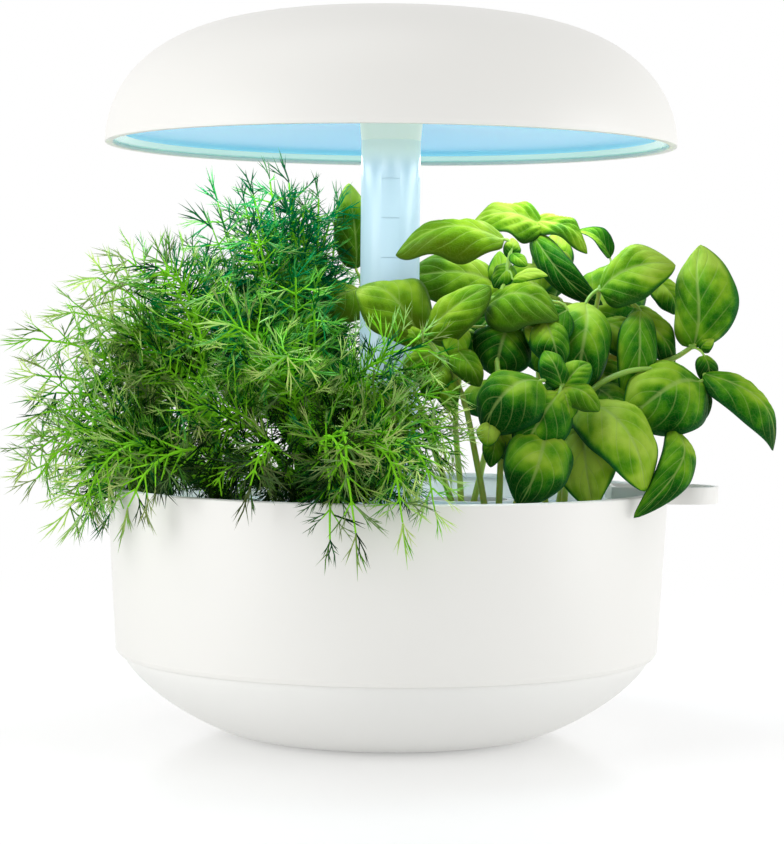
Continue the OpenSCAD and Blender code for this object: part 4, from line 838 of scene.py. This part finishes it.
# A leaf is its base, its tip, its width, its age, how much painted shade darkens it and how olive
# it is, then what else sets it apart from a plain one. An age of None is drawn at random.
BASIL = {
    "basil_plant_1": ([
        [(59, -82, PLANT_LOW), (60, -80, 180), (58, -61, 228), (66, -50, 272)],
        [(54, -82, PLANT_LOW), (47, -80, 158), (36, -72, 200), (21, -63, 221)],
        [(62, -84, PLANT_LOW), (80, -90, 165), (92, -90, 197)],
    ], [
        ((19, -62, 219), (-18, -40, 257), 38, 0.1, 0.58, 1.0, dict(cup=0.5, wave=0.14)),
        ((21, -64, 222), (52, -74, 254), 26, 0.28, 0.1, 0.7, dict(facing=(-0.5, -0.8, 0.4))),
        ((17, -68, 218), (8, -62, 231), 10, 0.5, 0.0, 0.8),
        ((34, -66, 233), (37, -74, 209), 16, 0.8, 0.0, 0.0),
        ((40, -60, 226), (52, -58, 212), 16, 0.4, 0.3, 0.0),
        ((62, -50, 276), (-1, -50, 276), 30, 0.12, 0.45, 1.0,
         dict(cup=1.05, bow=0.2, curl=0.2, wave=0.14, facing=(0, -0.6, 0.8))),
        ((67, -56, 254), (85, -62, 258), 8, 0.5, 0.0, 0.0),
        ((52, -58, 240), (92, -72, 240), 36, 0.3, 0.1, 0.6,
         dict(cup=0.9, facing=(0.1, -0.7, 0.7))),
        ((96, -60, 238), (70, -64, 220), 26, 0.25, 0.3, 0.0),
        ((64, -62, 230), (57, -72, 202), 34, 0.1, 0.7, 0.0, dict(cup=1.0)),
        ((89, -66, 213), (74, -68, 231), 14, 0.3, 0.2, 0.0),
        ((84, -66, 232), (92, -78, 208), 22, 0.2, 0.4, 0.0),
        ((80, -92, 200), (47, -106, 178), 38, 0.12, 0.5, 0.0,
         dict(cup=1.1, bow=0.28, curl=0.3, facing=(0.2, -0.6, 0.8))),
        ((90, -94, 194), (68, -108, 162), 30, 0.16, 0.3, 0.0, dict(cup=1.0)),
        ((84, -94, 174), (70, -122, 138), 36, 0.22, 0.45, 0.0, dict(cup=1.05, bow=0.26)),
        ((92, -90, 197), (83, -86, 218), 16, 0.15, 0.1, 0.0),
        ((92, -90, 197), (112, -100, 187), 17, 0.2, 0.0, 0.4),
        ((92, -90, 197), (107, -84, 211), 18, 0.2, 0.0, 0.0),
        ((92, -90, 197), (96, -98, 180), 15, 0.25, 0.2, 0.0),
        ((66, -50, 266), (67, -50, 277), 9, 0.6, 0.0, 0.0),
        ((66, -52, 268), (74, -58, 262), 8, 0.3, 0.0, 0.0),
        ((66, -50, 262), (56, -54, 250), 12, 0.3, 0.3, 0.0),
        ((56, -84, 172), (54, -94, 155), 12, 0.3, 0.3, 0.0),
        ((58, -80, 178), (64, -86, 158), 14, 0.7, 0.0, 0.0),
        ((54, -98, 178), (52, -104, 166), 12, 0.8, 0.0, 0.0),
        ((26, -72, 213), (8, -82, 204), 18, 0.2, 0.35, 0.9),
        ((30, -72, 208), (20, -86, 190), 17, 0.2, 0.4, 0.7),
        ((36, -72, 216), (50, -82, 198), 17, 0.3, 0.3, 0.5),
        ((26, -70, 204), (34, -84, 184), 15, 0.3, 0.4, 0.0),
    ]),
    "basil_plant_2": ([
        [(95, 0, PLANT_LOW), (106, -14, 190), (116, -28, 250)],
        [(90, 4, PLANT_LOW), (84, 2, 210), (80, -2, 288)],
        [(98, -6, PLANT_LOW), (108, -56, 192), (126, -60, 204), (146, -56, 206), (172, -48, 197)],
        [(112, -20, 215), (150, -34, 210), (172, -34, 222)],
    ], [
        ((86, -6, 286), (46, -12, 292), 28, 0.42, 0.0, 0.4,
         dict(cup=0.7, wave=0.12, puff=0.07, facing=(0, -0.75, 0.65))),
        ((80, -6, 288), (114, -12, 275), 20, 0.4, 0.0, 0.4,
         dict(cup=0.7, wave=0.14, puff=0.07, facing=(0.2, -0.7, 0.7))),
        ((80, -8, 280), (116, -30, 240), 17, 0.15, 0.25, 0.0,
         dict(cup=1.0, facing=(-0.4, -0.8, 0.4))),
        ((86, 4, 272), (104, -8, 252), 20, 0.5, 0.0, 0.5),
        ((124, 2, 268), (106, 2, 288), 12, 0.35, 0.0, 0.0, dict(cup=-0.6, curl=0.3)),
        ((116, -30, 249), (155, -44, 267), 36, 0.48, 0.0, 0.2,
         dict(cup=0.75, bow=0.2, facing=(-0.1, -0.8, 0.55))),
        ((150, -4, 256), (162, -8, 237), 18, 0.6, 0.0, 0.0),
        ((108, -34, 242), (102, -66, 190), 34, 0.28, 0.0, 0.0,
         dict(cup=1.1, bow=0.26, facing=(0.2, -0.7, 0.7))),
        ((138, -34, 238), (130, -52, 180), 22, 0.3, 0.1, 0.0, dict(cup=1.0)),
        ((136, -24, 240), (160, -34, 210), 24, 0.15, 0.3, 0.0),
        ((167, -33, 218), (164, -34, 278), 38, 0.68, 0.0, 0.0,
         dict(cup=0.9, bow=0.2, sweep=0.3, facing=(-0.5, -0.85, 0.1), twist=0.3)),
        ((170, -50, 200), (128, -74, 182), 46, 0.4, 0.0, 0.0,
         dict(cup=1.0, bow=0.24, curl=0.2, facing=(0, -0.85, 0.5))),
        ((172, -47, 204), (219, -50, 167), 24, 0.18, 0.0, 0.0,
         dict(cup=1.1, bow=0.26, curl=0.2, facing=(0.3, -0.7, 0.6), sweep=0.1)),
        ((171, -36, 217), (177, -40, 224), 9, 0.6, 0.0, 0.0),
        ((172, -44, 214), (176, -46, 197), 12, 0.1, 0.5, 0.0),
        ((171, -48, 196), (170, -52, 177), 9, 0.2, 0.0, 0.0),
        ((106, -62, 188), (138, -104, 148), 38, 0.66, 0.0, 0.0, dict(cup=0.9, bow=0.22)),
        ((155, -62, 174), (132, -102, 132), 20, 0.28, 0.0, 0.0,
         dict(cup=1.0, sweep=-0.25, bow=0.24, facing=(0.3, -0.8, 0.5))),
        ((104, -56, 174), (106, -98, 136), 36, 1.0, 0.0, 0.0,
         dict(cup=0.5, facing=(-0.2, -0.6, 0.8))),
        ((114, 8, 240), (150, 34, 262), 38, 0.4, 0.0, 0.0),
        ((112, 6, 220), (140, 44, 205), 36, 0.35, 0.0, 0.0),
        ((108, -16, 214), (128, -30, 184), 34, 0.15, 0.45, 0.0),
        ((100, -10, 226), (82, -34, 206), 34, 0.12, 0.5, 0.0),
        ((106, -30, 198), (88, -56, 176), 32, 0.15, 0.45, 0.0),
        ((112, -40, 196), (134, -70, 172), 30, 0.15, 0.4, 0.0),
        ((116, -26, 232), (140, -40, 216), 28, 0.2, 0.3, 0.0),
        ((96, -8, 244), (78, -26, 226), 30, 0.25, 0.3, 0.0),
        ((88, 0, 262), (70, -18, 246), 24, 0.35, 0.1, 0.0),
        ((104, -30, 178), (120, -52, 158), 26, 0.2, 0.4, 0.0),
        ((98, 2, 160), (122, 20, 150), 22, 0.4, 0.0, 0.0),
    ]),
    "basil_plant_3": ([
        [(44, 82, PLANT_LOW), (42, 74, 200), (66, 46, 250)],
        [(50, 82, PLANT_LOW), (70, 66, 200), (96, 46, 255)],
        [(40, 84, PLANT_LOW), (10, 74, 200), (-16, 56, 250)],
    ], [
        ((64, 44, 254), (8, 32, 260), 36, 0.34, 0.1, 0.7, dict(facing=(0, -0.8, 0.5))),
        ((66, 46, 246), (64, 40, 273), 16, None, 0.0, 0.0),
        ((-20, 52, 262), (-24, 42, 313), 22, 0.4, 0.05, 0.6, dict(facing=(0.2, -0.9, 0.2))),
        ((-18, 54, 250), (-40, 36, 236), 30, 0.2, 0.4, 0.9),
        ((94, 46, 256), (99, 40, 285), 22, None, 0.0, 0.0),
        ((96, 46, 246), (94, 30, 265), 22, None, 0.2, 0.0),
        ((48, 66, 222), (34, 60, 248), 24, None, 0.3, 0.0),
        ((54, 70, 215), (80, 90, 226), 30, None, 0.0, 0.0),
        ((44, 76, 210), (20, 104, 232), 34, None, 0.0, 0.0),
        ((70, 60, 232), (104, 76, 250), 34, None, 0.0, 0.0),
        ((70, 56, 226), (62, 30, 204), 34, 0.15, 0.45, 0.0),
        ((84, 54, 228), (96, 30, 204), 34, 0.15, 0.45, 0.0),
        ((52, 70, 196), (70, 44, 178), 32, 0.2, 0.4, 0.0),
        ((66, 62, 240), (48, 34, 226), 30, 0.25, 0.3, 0.0),
    ]),
}


def basil(node, stems, leaves, seed):
    """Grows one basil plant: its blades as one piece, its stems and leaf stalks as another."""
    dice = random.Random(seed)
    bm = bmesh.new()
    bm.loops.layers.uv.new("UVMap")
    bm.verts.layers.float_color.new("traits")
    routes = [[(p, 2.0 - 0.8 * k / (len(s) - 1)) for k, p in enumerate(s)] for s in stems]
    for base, tip, width, age, dark, olive, *rest in leaves:
        own = dict(age=dice.uniform(0.35, 0.6), cup=dice.uniform(0.7, 1.05),
                   bow=dice.uniform(0.14, 0.24), twist=dice.uniform(-0.35, 0.35),
                   sweep=dice.uniform(-0.1, 0.1), curl=dice.uniform(0.1, 0.22), dice=dice)
        if age is not None:
            own["age"] = age
        own.update(dark=dark, olive=olive, **(rest[0] if rest else {}))
        leaf(bm, base, tip, width, **own)
        root = nearest(stems, base)
        ahead = Vector(base) + (Vector(tip) - Vector(base)).normalized() * 3
        middle = (root + Vector(base)) / 2 + Vector((0, 0, 1.5))
        thick = 0.5 + width / 60
        routes.append([(root, thick + 0.2), (middle, thick), (base, thick * 0.9),
                       (ahead, thick * 0.6)])
    blades = finish_mesh(node.replace("plant", "leaves"), bm, basil_green, sharp=180)
    blades.data.materials.append(basil_under)
    applied(blades, "SOLIDIFY", thickness=LEAF_THICK, offset=-1, material_offset=1)
    shown(blades, "tray", "basil_green", node)
    shown(tubes(node.replace("plant", "stems"), routes, basil_stem), "tray", "basil_green", node)


for number, (node, (stems, leaves)) in enumerate(BASIL.items()):
    basil(node, stems, leaves, 11 + number)

# %% [markdown]
# ## Dill
# Dill leaves are threads. One sprig is a fork of thin three-sided needles; a few such templates
# are copied along the side branches of every frond, each turned and scaled in its own way.

# %% Dill finish
dill_green, tree, surface = new_finish("dill_green", Roughness=0.45, Specular_IOR_Level=0.15,
                                       Specular_Tint=(0.2, 1.0, 0.2, 1))
# Painted light and shade: the first trait is each sprig's tone with painted light on it, the third
# is painted shade deep in the plant, and the second tints it cool.
age, cool, deep = read_traits(tree)[:3]
color = color_ramp(tree, age, [rgb(0, 40, 2), rgb(10, 132, 10), rgb(150, 226, 46),
                               rgb(226, 246, 150)], [0.3, 0.62])
color = blend(tree, cool, color, rgb(0, 166, 104))
color = blend(tree, deep, color, rgb(0, 30, 8))
tree.links.new(color, surface.inputs["Base Color"])
glow = add(tree, "ShaderNodeBsdfTranslucent", {"Color": color})
mix_surface(tree, 0.28, surface.outputs[0], glow.outputs[0])

# %% Sprigs
NEEDLE_R = 0.55      # radius of a needle at its root, in mm
SPRIG_LENGTH = 25.0


def needle(bm, root, way, length, radius, end=0.0, tone=0.0):
    """A three-sided needle from root, in mm, narrowing to end; tone lightens or darkens it."""
    way = Vector(way).normalized()
    middle = Vector(root) + way * length / 2
    place = Matrix.Translation(middle * MM) @ way.to_track_quat("Z", "X").to_matrix().to_4x4()
    made = bmesh.ops.create_cone(bm, cap_ends=True, segments=3, radius1=radius * MM,
                                 radius2=end * MM, depth=length * MM, matrix=place)
    layer = bm.verts.layers.float_color["traits"]
    for vert in made["verts"]:
        vert[layer] = (tone, 0, 0, 1)


def sprig(seed):
    """One forked sprig along +X: a main needle and side needles, some of them forked again."""
    dice = random.Random(seed)
    bm = bmesh.new()
    bm.verts.layers.float_color.new("traits")
    sag = dice.uniform(-0.3, 0.3)
    needle(bm, (0, 0, 0), (1, 0, 0), SPRIG_LENGTH * 0.55, NEEDLE_R, NEEDLE_R * 0.85)
    needle(bm, (SPRIG_LENGTH * 0.54, 0, 0), (1, sag, 0), SPRIG_LENGTH * 0.46, NEEDLE_R * 0.95)
    for k in range(4):
        root = Vector((SPRIG_LENGTH * (0.03 + 0.17 * k), 0, 0))
        lean = math.radians(dice.uniform(12, 32))
        roll = math.pi * k + dice.uniform(-0.8, 0.8)
        way = Vector((math.cos(lean), math.sin(lean) * math.cos(roll),
                      math.sin(lean) * math.sin(roll)))
        reach = SPRIG_LENGTH * (0.62 - 0.08 * k) * dice.uniform(0.7, 1.2)
        tone = dice.uniform(-0.3, 0.3)
        if k > 1:
            needle(bm, root, way, reach, NEEDLE_R * 0.9, 0, tone)
            continue
        needle(bm, root, way, reach * 0.6, NEEDLE_R * 0.9, NEEDLE_R * 0.75, tone)
        turned = way + Vector((0, way.y * dice.uniform(-0.7, 0.7),
                               way.z * dice.uniform(-0.7, 0.7)))
        needle(bm, root + way * reach * 0.58, turned, reach * 0.5, NEEDLE_R * 0.9, 0, tone)
        fork = way + Vector((0.1, way.y * 1.1, way.z * 1.1 + dice.uniform(-0.3, 0.3)))
        needle(bm, root + way * reach * 0.4, fork, reach * 0.6, NEEDLE_R * 0.85, 0, tone)
    mesh = bpy.data.meshes.new("sprig")
    bm.to_mesh(mesh)
    bm.free()
    return mesh


SPRIGS = [sprig(k) for k in range(7)]
print("a sprig has", len(SPRIGS[0].polygons), "faces")

# %% Fronds, in mm
# A plant is its capsule's direction in degrees, then its outer fronds: where each one bends, where
# it ends, and how far its side branches reach.
DILL = {
    "dill_plant_1": (240, [
        ((-24, -172, 235), (-11, -178, 84), 13), ((-62, -168, 215), (-74, -158, 112), 11),
        ((-12, -160, 220), (-23, -172, 126), 12), ((12, -170, 215), (8, -176, 100), 12),
        ((30, -162, 215), (24, -170, 108), 13), ((-128, -140, 200), (-140, -114, 106), 16),
        ((-95, -110, 215), (-118, -118, 165), 20), ((-50, -100, 235), (-55, -122, 205), 22),
        ((-10, -84, 240), (36, -100, 208), 20), ((0, -80, 215), (42, -108, 182), 20),
        ((10, -90, 205), (40, -116, 158), 22), ((-5, -95, 200), (12, -130, 168), 22),
        ((20, -92, 190), (44, -104, 152), 18),
        ((-70, -91, 245), (-92, -108, 224), 21)]),
    "dill_plant_2": (180, [
        ((-150, -10, 235), (-214, -10, 217), 20), ((-160, -20, 215), (-209, -20, 196), 19),
        ((-160, -36, 203), (-203, -35, 172), 18), ((-175, -50, 200), (-202, -60, 143), 20),
        ((-180, -62, 200), (-197, -56, 124), 16), ((-162, -78, 200), (-174, -82, 106), 16),
        ((-154, -90, 200), (-166, -94, 103), 14), ((-140, 0, 250), (-192, 0, 232), 20),
        ((-135, -5, 265), (-174, -5, 253), 20), ((-125, -10, 270), (-155, -6, 265), 24),
        ((-108, -18, 270), (-131, -20, 262), 24), ((-130, 40, 240), (-162, 60, 228), 24)]),
    "dill_plant_3": (120, [
        ((-62, 40, 260), (-70, 8, 321), 22), ((-54, 40, 270), (-59, 18, 319), 22),
        ((-42, 50, 260), (-41, 20, 311), 20), ((-34, 62, 250), (-30, 34, 310), 16),
        ((-90, 40, 250), (-100, 2, 309), 20), ((-90, 30, 250), (-102, -16, 290), 22),
        ((-95, 30, 240), (-116, -4, 279), 22), ((-54, 20, 215), (-52, -28, 266), 18),
        ((-78, 34, 270), (-84, 4, 304), 22), ((-50, 44, 265), (-50, 16, 302), 20),
        ((-70, 20, 250), (-76, -16, 290), 22), ((-100, 36, 235), (-124, 8, 262), 24),
        ((-84, 10, 225), (-96, -40, 262), 22),
        ((-62, 110, 230), (-84, 118, 250), 24), ((-30, 108, 235), (-22, 112, 246), 22)]),
}
CAPSULE_R = 95
WALL_NEAR, WALL_FAR = 150, 162    # a sprig keeps off the bowl's wall between these radii
PAIRS = 7            # pairs of side branches on a frond
SPRAYS = 2           # sprigs on a side branch
INNER = 4            # shorter fronds that fill the plant behind each outer one


def bend(a, b, c, t):
    """The point at t on the curve that leaves a towards b and ends at c."""
    return a.lerp(b, t).lerp(b.lerp(c, t), t)


def jitter(dice, reach):
    """A small random step, in mm."""
    return Vector([dice.uniform(-reach, reach) for _ in range(3)])


def clear(spot, go, size):
    """True if a sprig stays off the bowl's wall."""
    way = go.normalized() * SPRIG_LENGTH * size
    return not any(p.z < RIM_Z + 2 and WALL_NEAR < math.hypot(p.x, p.y) < WALL_FAR
                   for p in (spot + way * k / 4 for k in range(5)))


def frond(root, knee, tip, spread, dice, ribs, twigs, placed, glow, shade):
    """One frond: its rib goes to ribs, its side branches to twigs, its sprigs to placed."""
    end = 1 - SPRIG_LENGTH * 0.7 / max(60, (tip - root).length)
    ribs.append([(bend(root, knee, tip, end * k / 4), 1.2 - 0.7 * k / 4) for k in range(5)])
    for k in range(PAIRS * 2 + 1):
        u = 0.3 + (end - 0.3) * (k // 2) / PAIRS
        at = bend(root, knee, tip, u)
        along = (bend(root, knee, tip, u + 0.03) - at).normalized()
        side = along.cross(Vector((dice.uniform(-0.6, 0.6), -1, dice.uniform(-0.5, 0.5))))
        side = side.normalized() * (-1 if k % 2 else 1)
        if k == PAIRS * 2:
            side = Vector((0, 0, 0))
        reach = spread * (1.2 - 0.7 * (k // 2) / PAIRS) * dice.uniform(0.8, 1.15)
        way = (along * dice.uniform(0.8, 1.2) + side + Vector((0, 0, -0.1))).normalized()
        droop = Vector((0, 0, -reach * 0.15))
        if k < PAIRS * 2:
            twigs.append((at, at + way * reach + droop))
        for j in range(SPRAYS):
            share = (j + 1) / SPRAYS if k < PAIRS * 2 else j * 0.1
            spot = at + way * reach * share + droop * share * share
            flip = 1 if j % 2 else -1
            go = way * 0.9 + along * 0.35 * flip + Vector((0, 0, -0.15)) + jitter(dice, 0.5)
            if j == SPRAYS - 1:
                go = way + jitter(dice, 0.3)
            size = dice.uniform(0.6, 1.0) * (1.1 - 0.35 * share)
            if not clear(spot, go, size):
                go = go + 0.9 * Vector((spot.x, spot.y, 0)).normalized()
            if clear(spot, go, size):
                placed.append((spot, go.normalized(), size, u * 0.6 + share * 0.4, glow, shade))


def dill(node, azimuth, fronds, seed):
    """Grows one dill plant: a stalk, bent fronds, side branches and their sprigs."""
    dice = random.Random(seed)
    turn = math.radians(azimuth)
    foot = Vector((CAPSULE_R * math.cos(turn), CAPSULE_R * math.sin(turn), PLANT_LOW))
    ribs = [[(foot, 2.2), (foot + Vector((0, 0, 2.6 * (len(fronds) + 3))), 1.6)]]
    twigs, placed = [], []
    for i, (knee, tip, spread) in enumerate(fronds):
        root = foot + Vector((0, 0, 2.6 * (i + 3)))
        knee, tip = Vector(knee), Vector(tip)
        # glow is painted light that lightens an outer frond or darkens an inner one; the last value
        # is painted shade, stronger the shorter an inner frond is.
        frond(root, knee, tip, spread, dice, ribs, twigs, placed, dice.uniform(0.16, 0.42), 0)
        for _ in range(INNER + (1 if tip.z > 280 else 0)):
            share = dice.uniform(0.45, 0.96 if tip.z > 255 else 0.86)
            frond(root, root.lerp(knee, share) + jitter(dice, 14),
                  root.lerp(tip, share) + jitter(dice, 16), spread * 0.9, dice, ribs, twigs,
                  placed, dice.uniform(-0.34, 0.2), max(0, 1.8 * (0.8 - share)))
    stalks = tubes(node + "_stalks", ribs, dill_green, resolution=1)
    bm = bmesh.new()
    bm.verts.layers.float_color.new("traits")
    bm.from_mesh(stalks.data)
    bpy.data.objects.remove(stalks)
    layer = bm.verts.layers.float_color["traits"]
    for a, b in twigs:
        needle(bm, a, b - a, (b - a).length, 0.6, 0.35)
    for vert in bm.verts:
        vert[layer] = (0.6, 0, 0, 1)
    for spot, go, size, tipness, glow, shade in placed:
        copy = dice.choice(SPRIGS).copy()
        roll = Matrix.Rotation(dice.uniform(0, 2 * math.pi), 4, "X")
        copy.transform(Matrix.Translation(spot * MM) @ go.to_track_quat("X", "Z").to_matrix()
                       .to_4x4() @ roll @ Matrix.Scale(size, 4))
        start = len(bm.verts)
        bm.from_mesh(copy)
        bpy.data.meshes.remove(copy)
        bm.verts.ensure_lookup_table()
        # Painted light and shade: lit is lighter at tips and on glowing fronds and darker high up
        # towards the column; low, and some sprigs at random, are darkened towards near black in the
        # lower middle of the plant.
        high = min(1, max(0, (spot.z - 190) / 110)) * min(1, max(0, (spot.x + 150) / 60))
        lit = 0.36 + 0.4 * tipness - 0.6 * high + glow + dice.uniform(-0.35, 0.35)
        cool = min(1, max(0, 0.5 * high + dice.uniform(-0.18, 0.42)))
        low = min(1, max(0, 1.5 - abs(spot.x + 70) / 60)) * min(1, max(0, (205 - spot.z) / 50))
        dark = min(0.94, shade + 0.85 * low + (0.5 if dice.random() < 0.2 + 0.15 * high else 0))
        for k in range(start, len(bm.verts)):
            own = bm.verts[k][layer][0]
            bm.verts[k][layer] = (min(1, max(0, lit + own)), cool, dark, 1)
    piece = finish_mesh(node.replace("plant", "fronds"), bm, dill_green, sharp=60)
    shown(piece, "tray", "dill_green", node)
    print(len(placed), "sprigs,", len(piece.data.polygons), "faces")


for number, (node, (azimuth, fronds)) in enumerate(DILL.items()):
    dill(node, azimuth, fronds, 31 + number)

# %% [markdown]
# ## Floor and light
# The garden stands on a pale glossy counter that fades to white. One broad light comes from the
# left and front, a weaker one from the right, and one from above; the panel adds a cool glow.

# %% Floor
FLOOR_SIZE = 9.0
NEAR, FAR = 0.22, 0.95      # the counter fades to white between these distances, in metres

PURE_WHITE = (1, 1, 1, 1)

floor_white, tree, surface = new_finish(
    "floor_white", Base_Color=(0.8, 0.8, 0.8, 1), Roughness=0.16, Specular_IOR_Level=0.3,
    Emission_Color=PURE_WHITE, Emission_Strength=0.22)
across, deep = axes(tree)[:2]
flat = add(tree, "ShaderNodeCombineXYZ", {0: across, 1: deep})
away = add(tree, "ShaderNodeVectorMath", {0: flat.outputs[0]}, operation="LENGTH")
white = add(tree, "ShaderNodeEmission", {"Color": PURE_WHITE, "Strength": 1.0})
mix_surface(tree, smooth(tree, away.outputs["Value"], NEAR, FAR), surface.outputs[0],
            white.outputs[0])

bm = bmesh.new()
bmesh.ops.create_grid(bm, x_segments=2, y_segments=2, size=FLOOR_SIZE / 2)
floor = finish_mesh("counter", bm, floor_white)

# %% World and lamps
SOFT = 0.51         # light that comes from all around

world = bpy.data.worlds.new("studio")
bpy.context.scene.world = world
world.use_nodes = True
tree = world.node_tree
tree.nodes.clear()
path = tree.nodes.new("ShaderNodeLightPath").outputs
seen = maths(tree, "ADD", path["Is Camera Ray"], path["Is Glossy Ray"])
seen = maths(tree, "ADD", seen, path["Is Transmission Ray"], use_clamp=True)
soft, plain = [add(tree, "ShaderNodeBackground", {"Color": PURE_WHITE, "Strength": strength})
               for strength in (SOFT, 1.0)]
mixed = add(tree, "ShaderNodeMixShader", {0: seen, 1: soft.outputs[0], 2: plain.outputs[0]})
add(tree, "ShaderNodeOutputWorld", {"Surface": mixed.outputs[0]})


def area_light(name, shape, size, watts, place, color=(1, 1, 1)):
    """An area light whose matrix is place."""
    data = bpy.data.lights.new(name, "AREA")
    data.shape, data.size, data.energy, data.color = shape, size, watts, color
    lamp = add_object(name, data)
    lamp.matrix_world = place
    return lamp


AIM = Vector((0, 0, 0.2))      # the middle of the garden, which the soft lights face
for name, place, size, watts in (("left_light", (-1.65, -0.95, 0.55), 1.1, 14.5),
                                 ("right_light", (1.85, -0.3, 0.45), 0.9, 13.5),
                                 ("top_light", (-0.3, -0.1, 2.0), 1.2, 7)):
    turned = (AIM - Vector(place)).to_track_quat("-Z", "Y").to_matrix().to_4x4()
    area_light(name, "SQUARE", size, watts, Matrix.Translation(place) @ turned)

# %% The grow light itself
# Six round lights just under the panel, one over each plant, ride up with the lamp.
GROW_WATTS, GROW_SIZE = 0.13, 0.07
GROW_OUT, GROW_UP = 0.095, 0.3295      # their place, in metres from the axis and the floor
for k in range(6):
    turn = math.radians(60 * k)
    place = (GROW_OUT * math.cos(turn), GROW_OUT * math.sin(turn), GROW_UP)
    grow_light = area_light(f"grow_light_{k + 1}", "DISK", GROW_SIZE, GROW_WATTS,
                            Matrix.Translation(place), (0.93, 0.98, 1.0))
    grow_light.visible_camera = False
    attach(grow_light, "lamp")
